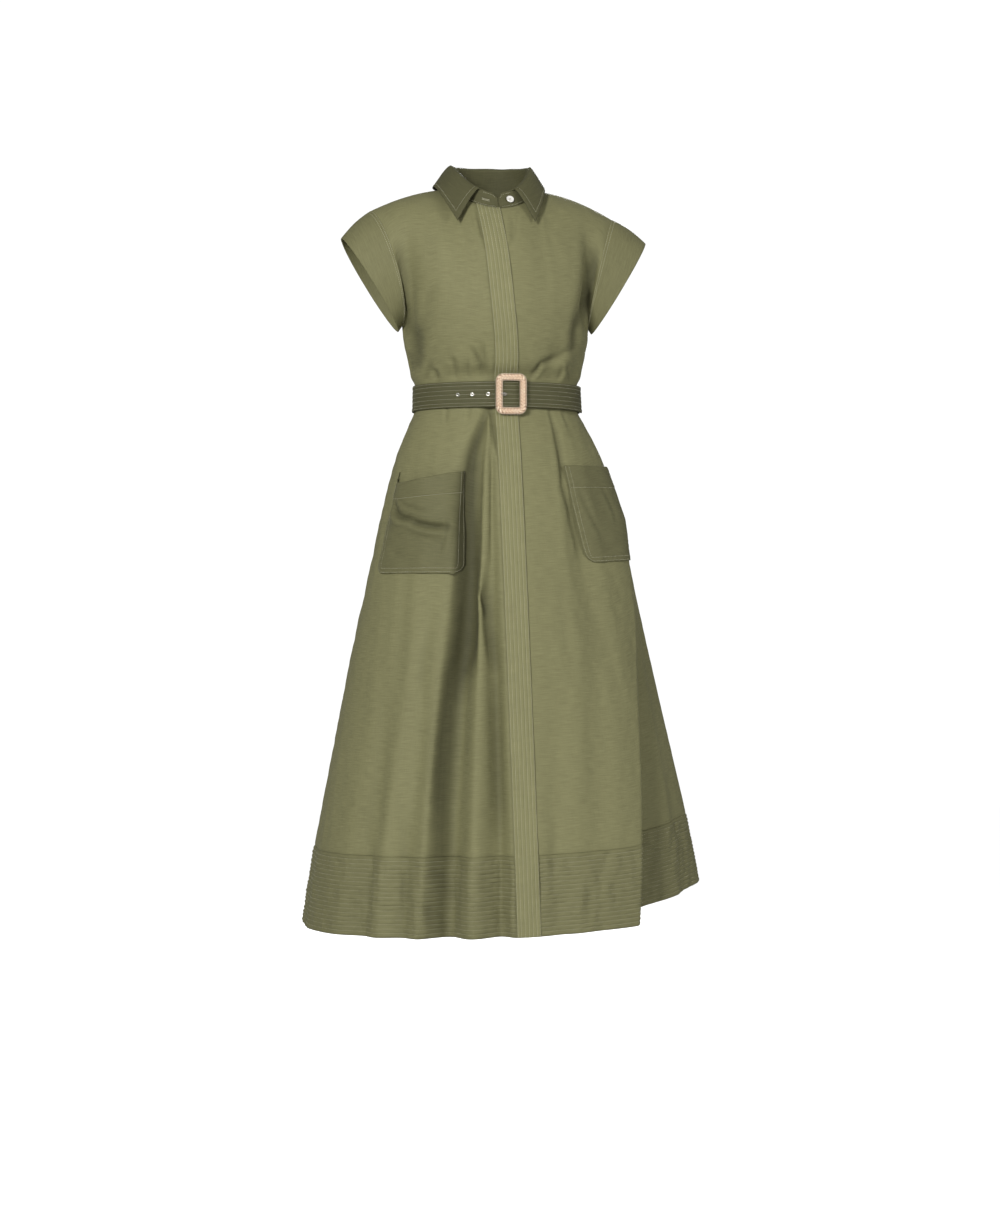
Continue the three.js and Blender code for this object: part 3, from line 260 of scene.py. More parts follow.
# %% Bodice form
NECK = {"half_width": 64, "front": 78, "back": 62, "front_drop": 36, "back_drop": 8}
SHOULDER_TIP = {"x": 183, "y": 2, "right_z": -34, "left_z": -41}
NECK_SHARE = {"front": 0.42, "back": 0.4}
bodice_rows = table(
    "z half_width front back",
    (-312, 122, 90, 87),
    (-293, 122, 90, 87),
    (-282, 127, 93, 93),
    (-268, 130, 104, 98),
    (-250, 134, 111, 100),
    (-228, 138.5, 117, 101.5),
    (-205, 141, 121, 102),
)
bodice_width = curve(bodice_rows, "z", "half_width")
bodice_depth = {"front": curve(bodice_rows, "z", "front"), "back": curve(bodice_rows, "z", "back")}
# %% Folds and flow of the bodice
bodice_folds = {
    "front": table(
        "u level reach spread depth",
        (-0.18, 0.34, 0.22, 0.06, 3.5),
        (-0.6, 0.3, 0.18, 0.07, 3),
        (0.4, 0.42, 0.28, 0.08, 5),
        (0.7, 0.36, 0.24, 0.09, 5),
        (-0.82, 1.1, 0.42, 0.1, 7),
        (0.82, 1.25, 0.4, 0.1, 8),
    ),
    "back": table(
        "u level reach spread depth",
        (-0.5, 0.34, 0.26, 0.08, 5),
        (-0.1, 0.3, 0.2, 0.07, 4),
        (0.3, 0.36, 0.26, 0.08, 5),
        (-0.82, 1.15, 0.4, 0.1, 6),
        (0.82, 1.2, 0.4, 0.1, 6),
    ),
}
FLOW = "u rise_x rise_y rise_z land_x land_y land_z"
flows = {
    "front": table(
        FLOW,
        (0, 0, -18, 165, 0, 95, 110),
        (0.28, -10, -32, 190, 0, 155, 88),
        (0.42, -15, -58, 200, 0, 265, 70),
        (0.62, -12, -75, 195, 0, 260, 48),
        (0.8, -8, -90, 190, 0, 240, 34),
        (1, -26, -235, 60, 45, 195, 30),
    ),
    "back": table(
        FLOW,
        (0, 0, 0, 200, 0, -110, 140),
        (0.28, -10, 25, 205, 0, -160, 88),
        (0.4, -15, 50, 210, 0, -262, 66),
        (0.62, -12, 68, 200, 0, -258, 46),
        (0.8, -8, 85, 190, 0, -238, 34),
        (1, -26, 225, 60, 45, -190, 30),
    ),
}

# %% Bodice surface


def fold_depth(side, u, level):
    total = 0
    for fold_u, fold_level, reach, spread, depth in zip(*bodice_folds[side].values()):
        total = total + depth * bell((u - fold_u) / spread) * bell((level - fold_level) / reach)
    return total * between(0.15, 0.26, level)


def top_edge(u, side, left):
    """The neckline, then the shoulder seam: u 0 is the centre, 1 the shoulder's tip."""
    share = NECK_SHARE[side]
    turn = np.radians(90 * np.minimum(u, share) / share)
    depth = -NECK["front"] if side == "front" else NECK["back"]
    rise = np.maximum(0, np.cos(turn)) ** 1.5
    neck = points(NECK["half_width"] * np.sin(turn), depth * np.cos(turn), -NECK[side + "_drop"] * rise)
    t = np.clip((u - share) / (1 - share), 0, 1)
    tip_z = np.where(left, SHOULDER_TIP["left_z"], SHOULDER_TIP["right_z"])
    seam = points(mix(NECK["half_width"], SHOULDER_TIP["x"], t), SHOULDER_TIP["y"] * t, tip_z * t**1.7)
    return np.where((u <= share)[..., None], neck, seam)


def bodice(side, u, level):
    """u runs from -1 at the right side seam to 1 at the left; level is 0 at the waist, 1 at the
    underarm and 2 at the neckline and shoulder."""
    u, level = np.broadcast_arrays(np.asarray(u, float), np.asarray(level, float))
    away, left = np.minimum(1, np.abs(u)), u > 0
    z = mix(WAIST_Z, UNDERARM_Z, np.minimum(1, level))
    sign = -1 if side == "front" else 1
    turn = np.radians(90 * away)
    p = points(bodice_width(z) * np.sin(turn), sign * bodice_depth[side](z) * np.cos(turn), z)
    t = np.maximum(0, level - 1)[..., None]
    flow = [curve(flows[side], "u", key)(away) for key in FLOW.split()[1:]]
    top = top_edge(away, side, left)
    p = np.where(t > 0, flowing(t, p, top, points(*flow[:3]), points(*flow[3:])), p)
    inward = unit(points(p[..., 0], p[..., 1] * 1.4, 0)) * -fold_depth(side, u, level)[..., None]
    x = np.where(left, 1, -1) * (p[..., 0] + inward[..., 0]) + lean(p[..., 2])
    return points(x, p[..., 1] + inward[..., 1], p[..., 2])


def bodice_normal(side, u, level):
    e = 2e-3
    across = bodice(side, np.minimum(1, u + e), level) - bodice(side, np.maximum(-1, u - e), level)
    up = bodice(side, u, np.minimum(2, level + e)) - bodice(side, u, level - e)
    n = unit(np.cross(across, up)) * (-1 if side == "back" else 1)
    flat = (level > 1.9) & (np.abs(u) > NECK_SHARE[side] - 0.01)
    n[..., 1] = np.where(flat, 0, n[..., 1])
    return unit(n)

# %% Front opening
placket_drift = curve(
    table("z x", (-1100, 2), (-277, 2), (-167, -6), (-106, -10), (-36, -16), (0, -17)), "z", "x"
)
OPENING_OFFSET = -9


def bodice_share_at(x, level):
    """The u of the front that lies at a distance from the body's line, found by halving."""
    low, high = (np.full(np.broadcast(x, level).shape, v) for v in (-0.6, 0.6))
    for _ in range(24):
        middle = (low + high) / 2
        p = bodice("front", middle, level)
        before = p[..., 0] - lean(p[..., 2]) < x
        low, high = np.where(before, middle, low), np.where(before, high, middle)
    return (low + high) / 2


def bodice_placket_x(level):
    return placket_drift(bodice("front", 1e-4, level)[..., 2])


print("shoulder tip:", bodice("front", 1.0, 2.0).round(0))

# %% [markdown]
# Woven cotton has a fine plain weave, faint slubs and a soft sheen. One node group makes the weave
# from a piece's own UV map, which is measured in metres along the threads, so every piece agrees.
# Little light reaches the bottom of a fold, so each piece also keeps how deep its folds are, and the group
# darkens the colour there as painted shade.

# %% Node helpers


def link(nodes, start, end):
    nodes.id_data.links.new(start, end)


def math_node(nodes, operation, a, b=None, c=None):
    node = nodes.new("ShaderNodeMath")
    node.operation = operation
    for socket, value in zip(node.inputs, (a, b, c)):
        if isinstance(value, (int, float)):
            socket.default_value = value
        elif value is not None:
            link(nodes, value, socket)
    return node.outputs[0]


def noise(nodes, vector, scale, detail=3.0, stretch=(1, 1, 1)):
    mapping = nodes.new("ShaderNodeMapping")
    mapping.inputs["Scale"].default_value = stretch
    link(nodes, vector, mapping.inputs["Vector"])
    node = nodes.new("ShaderNodeTexNoise")
    node.inputs["Scale"].default_value = scale
    node.inputs["Detail"].default_value = detail
    link(nodes, mapping.outputs[0], node.inputs["Vector"])
    return node.outputs["Fac"]


def new_group(name, inputs, outputs):
    group = bpy.data.node_groups.new(name, "ShaderNodeTree")
    for socket, kind, value in inputs:
        made = group.interface.new_socket(socket, in_out="INPUT", socket_type=kind)
        if value is not None:
            made.default_value = value
    for socket, kind in outputs:
        group.interface.new_socket(socket, in_out="OUTPUT", socket_type=kind)
    return group, group.nodes.new("NodeGroupInput"), group.nodes.new("NodeGroupOutput")

# %% Weave group
# Painted shade: the share of the colour taken away at the bottom of a deep fold.
PAINTED_FOLD_SHADE = 0.58
weave, weave_in, weave_out = new_group(
    "woven_cotton",
    [
        ("Threads", "NodeSocketVector", None),
        ("Place", "NodeSocketVector", None),
        ("Thread size", "NodeSocketFloat", 0.0004),
        ("Slub", "NodeSocketFloat", 0.3),
        ("Painted fold shade", "NodeSocketFloat", 0.0),
        ("Colour", "NodeSocketColor", (0.18, 0.17, 0.08, 1)),
    ],
    [("Colour", "NodeSocketColor"), ("Roughness", "NodeSocketFloat"), ("Height", "NodeSocketFloat")],
)
n = weave.nodes
parts = n.new("ShaderNodeSeparateXYZ")
link(n, weave_in.outputs["Threads"], parts.inputs[0])
frequency = math_node(n, "DIVIDE", 2 * math.pi, weave_in.outputs["Thread size"])
warp = math_node(n, "SINE", math_node(n, "MULTIPLY", parts.outputs[0], frequency))
weft = math_node(n, "SINE", math_node(n, "MULTIPLY", parts.outputs[1], frequency))
crossing = math_node(n, "MULTIPLY", warp, weft)
slub_warp = noise(n, weave_in.outputs["Threads"], 900, 2.0, (1, 0.05, 1))
slub_weft = noise(n, weave_in.outputs["Threads"], 900, 2.0, (0.05, 1, 1))
slub = math_node(n, "MULTIPLY_ADD", slub_warp, 0.4, math_node(n, "MULTIPLY", slub_weft, 1.6))
cloudy = noise(n, weave_in.outputs["Place"], 9, 3.0)
uneven = math_node(n, "MULTIPLY_ADD", math_node(n, "SUBTRACT", slub, 1.0), weave_in.outputs["Slub"], 1.0)
clouds = math_node(n, "MULTIPLY_ADD", math_node(n, "SUBTRACT", cloudy, 0.5), 0.16, uneven)
woven = math_node(n, "MULTIPLY_ADD", crossing, 0.05, clouds)
# Painted shade: the kept fold depth darkens the woven colour.
painted_shade_factor = math_node(n, "MULTIPLY_ADD", weave_in.outputs["Painted fold shade"], -PAINTED_FOLD_SHADE, 1.0)
shade = math_node(n, "MULTIPLY", woven, painted_shade_factor)
tint = n.new("ShaderNodeVectorMath")
tint.operation = "SCALE"
link(n, weave_in.outputs["Colour"], tint.inputs[0])
link(n, shade, tint.inputs["Scale"])
link(n, tint.outputs[0], weave_out.inputs["Colour"])
link(n, math_node(n, "MULTIPLY_ADD", slub, -0.12, 0.74), weave_out.inputs["Roughness"])
height = math_node(n, "MULTIPLY_ADD", slub, 0.6, math_node(n, "MULTIPLY", crossing, 0.4))
link(n, height, weave_out.inputs["Height"])
print("weave group sockets:", len(weave.interface.items_tree))

# %% [markdown]
# Each cloth finish places the group with its own share of the olive and then sets sheen on the shader
# itself. A share below one is painted shade, and a share above one is painted light. Thread, straw and
# pearl wander between two colours, which one small helper does for them all.

# %% Materials


def principled(name, roughness=0.5, metallic=0.0):
    material = bpy.data.materials.new(name)
    material.use_nodes = True
    shader = material.node_tree.nodes["Principled BSDF"]
    shader.inputs["Roughness"].default_value = roughness
    shader.inputs["Metallic"].default_value = metallic
    return material, material.node_tree.nodes, shader


def bump(nodes, shader, height, strength, distance):
    node = nodes.new("ShaderNodeBump")
    node.inputs["Strength"].default_value = strength
    node.inputs["Distance"].default_value = distance
    link(nodes, height, node.inputs["Height"])
    link(nodes, node.outputs[0], shader.inputs["Normal"])


def speckled(name, roughness, scale, dark, light, detail=3.0, stretch=(1, 1, 1), span=(0, 1)):
    """A finish whose colour wanders from a dark to a light one. It also gives the mask that does so."""
    material, nodes, shader = principled(name, roughness)
    mask = noise(nodes, nodes.new("ShaderNodeTexCoord").outputs["Object"], scale, detail, stretch)
    ramp = nodes.new("ShaderNodeValToRGB")
    for end, colour, position in zip(ramp.color_ramp.elements, (dark, light), span):
        end.color = (*colour, 1)
        end.position = position
    link(nodes, mask, ramp.inputs["Fac"])
    link(nodes, ramp.outputs["Color"], shader.inputs["Base Color"])
    return material, nodes, shader, mask

# %% Cotton
OLIVE = (0.168, 0.162, 0.079)


def cotton(name, share=1.0):
    """Olive cotton, its colour a share of the main one: a share below one is painted shade, above one
    painted light.
    """
    material, nodes, shader = principled(name)
    shader.inputs["Specular IOR Level"].default_value = 0.12
    shader.inputs["Sheen Weight"].default_value = 0.06
    shader.inputs["Sheen Roughness"].default_value = 0.4
    shader.inputs["Sheen Tint"].default_value = (0.75, 0.75, 0.55, 1)
    uv = nodes.new("ShaderNodeUVMap")
    uv.uv_map = "threads"
    place = nodes.new("ShaderNodeTexCoord")
    group = nodes.new("ShaderNodeGroup")
    group.node_tree = weave
    group.inputs["Colour"].default_value = (*(c * share for c in OLIVE), 1)
    group.inputs["Slub"].default_value = 0.4
    link(nodes, uv.outputs[0], group.inputs["Threads"])
    link(nodes, place.outputs["Object"], group.inputs["Place"])
    # Painted shade: the fold depth kept on the mesh darkens the colour.
    painted_fold_shade = nodes.new("ShaderNodeAttribute")
    painted_fold_shade.attribute_name = "painted_fold_shade"
    link(nodes, painted_fold_shade.outputs["Fac"], group.inputs["Painted fold shade"])
    link(nodes, group.outputs["Colour"], shader.inputs["Base Color"])
    link(nodes, group.outputs["Roughness"], shader.inputs["Roughness"])
    bump(nodes, shader, group.outputs["Height"], 0.35, 0.0002)
    return material


# The belt, collar, pockets, band and cuffs get darker copies of the olive as painted shade, and the placket
# a lighter copy as painted light.
olive_cloth = cotton("olive_cotton")
placket_cloth = cotton("painted_light_placket_cotton", 1.08)
band_shaded_cloth = cotton("painted_shade_band_cotton", 0.86)
belt_cloth = cotton("painted_shade_belt_cotton", 0.42)
collar_cloth = cotton("painted_shade_collar_cotton", 0.46)
pocket_shaded_cloth = cotton("painted_shade_pocket_cotton", 0.7)
cuff_shaded_cloth = cotton("painted_shade_cuff_cotton", 0.88)
thread, _, shader, _ = speckled("olive_thread", 0.45, 160, (0.36, 0.35, 0.22), (0.6, 0.57, 0.4))
shader.inputs["Sheen Weight"].default_value = 0.3
print("materials:", [m.name for m in bpy.data.materials])

# %% [markdown]
# A real panel is cut flat, with its threads straight along it, and is then bent. So every piece of
# cloth starts as a flat grid here too. Its columns and rows are sent to a form, the relief is moved out
# along the surface, and a Solidify modifier gives the cloth its thickness on the inside. The grid's
# own lengths become the UV map, so the weave keeps its size where the cloth widens.

# %% Cloth helper
# Painted shade starts in folds deeper than the first depth, in mm, and is full the second depth further in.
PAINTED_SHADE_START, PAINTED_SHADE_SPAN = 0.7, 7.5
cloth_pieces = {}


def surface_normal(p):
    across = np.gradient(p, axis=1)
    up = np.gradient(p, axis=0)
    return unit(np.cross(across, up))


def keep(piece, material, *nodes, slot="cloth"):
    """Gives a finished mesh its material, hangs it on the dress's root and hides the solids it stands for.
    """
    piece.data.materials.append(material)
    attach(piece, "root")
    if nodes:
        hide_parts(*nodes)
    return piece


def new_object(name, bm):
    mesh = bpy.data.meshes.new(name)
    bm.to_mesh(mesh)
    bm.free()
    piece = bpy.data.objects.new(name, mesh)
    bpy.context.collection.objects.link(piece)
    mesh.shade_smooth()
    return piece


def cloth_piece(name, node, us, vs, form, relief, thick=CLOTH, material=None, offset=-1.0,
                closed=False, inside_out=False, holes=None):
    """Lays a grid of cloth on a form. us and vs are its columns and rows."""
    bm = bmesh.new()
    bmesh.ops.create_grid(bm, x_segments=len(us) - 1, y_segments=len(vs) - 1, size=0.5)
    flat = np.array([v.co for v in bm.verts])
    spans = flat.max(axis=0) - flat.min(axis=0)
    column = np.rint((flat[:, 0] - flat[:, 0].min()) / spans[0] * (len(us) - 1)).astype(int)
    row = np.rint((flat[:, 1] - flat[:, 1].min()) / spans[1] * (len(vs) - 1)).astype(int)
    u, v = np.meshgrid(us, vs)
    p = form(u, v)
    n = surface_normal(p)
    if inside_out:
        n = -n
    moved = relief(u, v, p)
    p = p + n * moved[..., None]
    # Painted shade: the deeper the relief sinks the cloth, the darker its colour is painted.
    deep = np.clip((-moved - PAINTED_SHADE_START) / PAINTED_SHADE_SPAN, 0, 1)
    wide = np.linalg.norm(np.diff(p, axis=1), axis=2)
    tall = np.linalg.norm(np.diff(p, axis=0), axis=2)
    threads_x = np.pad(np.cumsum(wide, axis=1), ((0, 0), (1, 0)))
    threads_x -= threads_x[:, -1:] / 2
    threads_y = np.pad(np.cumsum(tall, axis=0), ((1, 0), (0, 0)))
    layer = bm.loops.layers.uv.new("threads")
    painted_shade_layer = bm.verts.layers.float.new("painted_fold_shade")
    for vertex, c, r in zip(bm.verts, column, row):
        vertex.co = p[r, c] * MM
        vertex[painted_shade_layer] = deep[r, c]
        for loop in vertex.link_loops:
            loop[layer].uv = (threads_x[r, c] * MM, threads_y[r, c] * MM)
    if holes is not None:
        holes(bm)
    if closed:
        bmesh.ops.remove_doubles(bm, verts=bm.verts, dist=1e-6)
    if inside_out:
        bmesh.ops.reverse_faces(bm, faces=bm.faces)
    piece = new_object(name, bm)
    wall = piece.modifiers.new("thickness", "SOLIDIFY")
    wall.thickness = thick * MM
    wall.offset = offset
    cloth_pieces[name] = {"us": np.asarray(us), "vs": np.asarray(vs), "points": p, "normals": n}
    keep(piece, material or olive_cloth, node)

# %% Stations, ripples and creases


def stations(start, end, count, fine=(0, 0.9, 2.2)):
    """Even stations with a few close ones at both ends, for the roll of a seamed edge."""
    length = abs(end - start)
    steps = np.concatenate([np.array(fine), np.linspace(fine[-1], length - fine[-1], count)[1:-1],
                            length - np.array(fine)[::-1]])
    return start + np.sign(end - start) * steps


def ripple(a, b, size, seed, waves=7):
    """A soft random swell of about one unit, with its own waves for each seed."""
    rng = np.random.default_rng(seed)
    total = np.zeros(np.broadcast(a, b).shape)
    for _ in range(waves):
        turn, phase = rng.uniform(0, 2 * np.pi, 2)
        length = size * rng.uniform(0.7, 1.6)
        total += np.sin((a * np.cos(turn) + b * np.sin(turn)) * 2 * np.pi / length + phase)
    return total / waves**0.5


def creases(rows, a, b):
    """Soft troughs from one point to another: each has a bend, a width and a depth, all in mm, and a
    low ridge beside it where the cloth is pushed up."""
    total = np.zeros_like(a)
    for a0, b0, a1, b1, bend, width, depth in zip(*rows.values()):
        da, db = a1 - a0, b1 - b0
        length = math.hypot(da, db)
        t = ((a - a0) * da + (b - b0) * db) / length**2
        off = ((a - a0) * db - (b - b0) * da) / length - bend * 4 * t * (1 - t)
        taper = smooth(np.minimum(t + 0.12, 1.12 - t) / 0.45)
        total += depth * taper * (0.45 * bell((off - 1.7 * width) / width) - bell(off / width))
    return total


CREASE = "a0 b0 a1 b1 bend width depth"

# %% [markdown]
# The bodice has two fronts, which meet under the placket, and a back. Tucks rise from the belt where
# the cloth is gathered by it, and soft folds hang from the armholes. Noise can't know where the belt
# pulls, so the main creases are drawn one by one and noise only adds a low swell.

# %% Bodice
SIDE_SHARE, OPENING_GAP, LEVEL_RISE = 1 - 0.0001, 0.0022, 110
levels = np.concatenate([np.linspace(0.0016, 1.9, 84), [1.93, 1.96, 1.985, 1.9998]])
front_creases = table(
    CREASE,
    (-62, -292, -72, -255, 3, 3.4, 2.6),
    (-40, -294, -47, -262, -2, 2.8, 2),
    (-23, -293, -44, -246, 4, 3.4, 3.2),
    (-88, -294, -96, -272, 3, 3.6, 3.4),
    (-14, -292, -27, -238, -3, 3.5, 2.8),
    (-106, -296, -98, -262, 2, 4, 2.4),
    (46, -288, 88, -256, -5, 4.2, 3.2),
    (60, -282, 116, -240, -3, 6, 2.2),
    (48, -291, 62, -262, 2, 2.8, 2),
    (107, -262, 113, -288, 2, 3.8, 2.6),
    (88, -292, 99, -270, 2, 3.2, 1.8),
    (-150, -84, -126, -222, 8, 15, 8.5),
    (-124, -206, -118, -280, -3, 10, 5.5),
    (-96, -140, -106, -236, 5, 9, 1.4),
    (149, -80, 127, -204, -6, 14, 7.6),
    (125, -186, 117, -256, 4, 9, 5),
    (-33, -38, -21, -98, 2, 2.8, 2.6),
    (-42, -44, -27, -84, 3, 3, 1.4),
    (18, -46, 13, -98, -2, 2.6, 2.8),
    (26, -44, 17, -92, -2, 2.6, 1.8),
    (-40, -40, -70, -62, 4, 6, 0.9),
)
back_creases = table(
    CREASE,
    (-70, -292, -62, -240, 3, 4, 2.2),
    (-44, -292, -40, -254, -2, 3.2, 1.8),
    (-16, -292, -12, -236, 2, 4, 2.2),
    (14, -292, 10, -256, -2, 3, 1.8),
    (40, -292, 34, -240, 3, 4, 2.2),
    (70, -292, 62, -252, -2, 3.4, 1.9),
    (96, -290, 90, -246, 3, 4, 2),
    (-130, -100, -110, -210, 7, 7, 2.4),
    (136, -104, 120, -214, -7, 7, 2.4),
    (-100, -52, -20, -70, 6, 9, 1.2),
    (20, -70, 104, -56, 6, 9, 1.2),
)

# %% Bodice pieces


def opening_share(level):
    rows, back = np.unique(level, return_inverse=True)
    return bodice_share_at(bodice_placket_x(rows) + OPENING_OFFSET, rows)[back].reshape(level.shape)


def right_front(s, level):
    return bodice("front", mix(-SIDE_SHARE, opening_share(level) - OPENING_GAP, s), level)


def left_front(s, level):
    return bodice("front", mix(opening_share(level) + OPENING_GAP, SIDE_SHARE, s), level)


def seam_roll(s, length):
    """The edge of a sewn panel rolls in by a hair where the seam pulls it."""
    return -0.5 * bell(np.minimum(s, 1 - s) * length / 1.6)


def seam_free(s, length, reach=9):
    """Creases die out at a seam, so that the two edges sewn there stay together."""
    return smooth(np.minimum(s, 1 - s) * length / reach)


def bodice_relief(rows, length, seed):
    def relief(s, level, p):
        x, z = p[..., 0], p[..., 2]
        above = between(0.16, 0.26, level)
        fine = 0.35 * ripple(x, z * 0.5, 34, seed) + 0.18 * ripple(x, z, 13, seed + 1)
        top = -0.5 * bell((level - 2) * LEVEL_RISE / 1.6)
        free = seam_free(s, length) * smooth((2 - level) * LEVEL_RISE / 9)
        return above * free * (creases(rows, x, z) + fine) + seam_roll(s, length) + top

    return relief


def soften(panel, spread=0.065):
    """Averages a panel across its columns, which takes the corner below the neckline out of the cloth."""
    def form(s, level):
        reach = spread * smooth((2 - level) / 0.2) * smooth((level - 1) / 0.3) * seam_free(s, 200, 30)
        taps = ((step / 4, 4 - abs(step)) for step in range(-3, 4))
        return sum(weight * panel(s + reach * step, level) for step, weight in taps) / 16

    return form


shares = stations(0, 1, 64, fine=(0, 0.005, 0.012))
wide_shares = stations(0, 1, 116, fine=(0, 0.0025, 0.006))
cloth_piece("front_right_cloth", "bodice_front_right", shares, levels, soften(right_front),
            bodice_relief(front_creases, 210, 11))
cloth_piece("front_left_cloth", "bodice_front_left", shares, levels, soften(left_front),
            bodice_relief(front_creases, 230, 12))
cloth_piece("back_cloth", "bodice_back", wide_shares, levels,
            soften(lambda s, level: bodice("back", mix(SIDE_SHARE, -SIDE_SHARE, s), level), 0.035),
            bodice_relief(back_creases, 380, 13))

# %% [markdown]
# A cap sleeve is a deep cuff, turned back and stitched round the armhole. A piece of pipe would gape
# there, because an armhole isn't flat. So each column of the cuff starts on the armhole seam itself and
# runs out to an open, tilted oval.

# %% Sleeves
CUFF = {"middle_y": 3, "reach_y": 50, "middle_z": -145, "reach_z": 69, "bulge": 4, "tuck": 1.2, "deep": 60}
cuffs = table("sign middle_x reach_x", (-1, 185, 43), (1, 192, 41))


def armhole(turn, sign):
    t = turn % 360
    level = 1 + np.minimum(0.9999, np.where(t <= 180, t, 360 - t) / 180)
    front = (t <= 180)[..., None]
    at = np.where(front, bodice("front", float(sign), level), bodice("back", float(sign), level))
    u = np.full(level.shape, float(sign))
    outward = np.where(front, bodice_normal("front", u, level), bodice_normal("back", u, level))
    return at, outward


def cuff_form(sign, middle_x, reach_x):
    def form(order, share):
        turn = order if sign > 0 else 360 - order
        at, outward = armhole(turn, sign)
        around = unit(armhole(turn - 4, sign)[1] + armhole(turn + 4, sign)[1])
        along_seam = armhole(turn + 3, sign)[0] - armhole(turn - 3, sign)[0]
        away = unit(np.cross(along_seam, around)) * sign
        t = np.radians(turn)
        rim = points(sign * (middle_x - reach_x * np.cos(t)) + 3,
                     CUFF["middle_y"] - CUFF["reach_y"] * np.sin(t),
                     CUFF["middle_z"] - CUFF["reach_z"] * np.cos(t))
        p = mix(at - away * CUFF["tuck"], rim, share[..., None])
        p[..., 2] += CUFF["bulge"] * np.sin(np.pi * share) * np.clip((p[..., 2] + 200) / 120, 0, 1)
        return p

    return form


def cuff_relief(order, share, p):
    down = share * CUFF["deep"]
    seam = -0.5 * bell(down / 1.6)
    stitched = -0.35 * bell(down - 4.5) - 0.3 * bell((down - CUFF["deep"]) / 1.4)
    return seam + stitched + 0.3 * ripple(order * 1.2, share * 40, 36, 21) * between(0, 0.2, share)


cuff_rows = stations(0, 1, 24, fine=(0, 0.02, 0.05))
for name, sign, middle_x, reach_x in zip(("right", "left"), *cuffs.values()):
    cloth_piece(f"cuff_{name}", f"sleeve_{name}", np.linspace(0, 360, 121), cuff_rows,
                cuff_form(sign, middle_x, reach_x), cuff_relief, thick=DOUBLE_CLOTH, material=cuff_shaded_cloth,
                closed=True, inside_out=True)

# %% [markdown]
# The collar is in two parts, as a shirt's is: a stand that circles the neck, with rounded ends, and
# the collar itself, which leaves the stand's top edge, rolls over and ends in two points. The stand is
# a grid between the neckline and an oval above it, because an extruded band can't lean as it does.

# %% Collar stand
STAND_TOP = {"half_width": 55, "front": 66, "back": 51, "front_z": -13, "side_z": 34, "back_z": 38}
STAND_END_GAP, STAND_HEIGHT = 1.6, 26


def neck_at(turn):
    """The neckline by turn: 0 is the centre front, 90 the dress's right, 180 the centre back."""
    t = turn % 360
    front_end, back_end = NECK_SHARE["front"], NECK_SHARE["back"]
    front_u = np.where(t <= 90, -t, 360 - t) * front_end / 90
    back_u = (t - 180) * back_end / 90
    in_front = ((t <= 90) | (t >= 270))[..., None]
    front = bodice("front", np.clip(front_u, -front_end, front_end), 1.9975)
    return np.where(in_front, front, bodice("back", np.clip(back_u, -back_end, back_end), 1.9975))


def stand_edge(turn, height):
    c = np.cos(np.radians(turn))
    depth = np.where(c > 0, STAND_TOP["front"], STAND_TOP["back"])
    end_z = np.where(c > 0, STAND_TOP["front_z"], STAND_TOP["back_z"])
    top = points(-STAND_TOP["half_width"] * np.sin(np.radians(turn)), -depth * c,
                 mix(STAND_TOP["side_z"], end_z, np.abs(c) ** 1.5))
    return mix(neck_at(turn), top, np.asarray(height)[..., None])


stand_start = math.degrees(STAND_END_GAP / 2 / NECK["half_width"])


def stand_form(turn, share):
    end = np.minimum(turn - stand_start, 360 - stand_start - turn)
    rounded = 1 - 0.34 * bell(end / 4.5)
    return stand_edge(turn, mix(-0.03, rounded, share))


def stand_relief(turn, share, p):
    end = np.minimum(turn, 360 - turn) * NECK["half_width"] * math.pi / 180
    stitched = -0.3 * (bell((share - 0.2) * STAND_HEIGHT / 0.8) + bell((end - 4) / 0.8))
    return stitched + 0.15 * ripple(turn, share * 20, 14, 31)


stand_turns = stations(stand_start, 360 - stand_start, 150, fine=(0, 1, 2, 3.2, 4.5))
cloth_piece("stand_cloth", "collar_stand", stand_turns, np.linspace(0, 1, 15), stand_form, stand_relief,
            thick=DOUBLE_CLOTH, material=collar_cloth, offset=0.0, inside_out=True)

# %% [markdown]
# The collar's edge is an oval whose ends drop to the two points. Each column runs from the top of the
# stand to that edge, and a half wave lifts it on the way, so the cloth rolls over as it does when sewn.

# %% Collar
COLLAR_EDGE = {"middle": -4, "half_width": 83, "back": 78, "side_z": 3, "back_z": -2}
COLLAR_POINT = {"x": 57, "y": -93, "z": -58}
COLLAR_START, COLLAR_ROLL = 23, 5
COLLAR_LENGTH, COLLAR_DEPTH, COLLAR_SEAM = 330, 48, 5.5


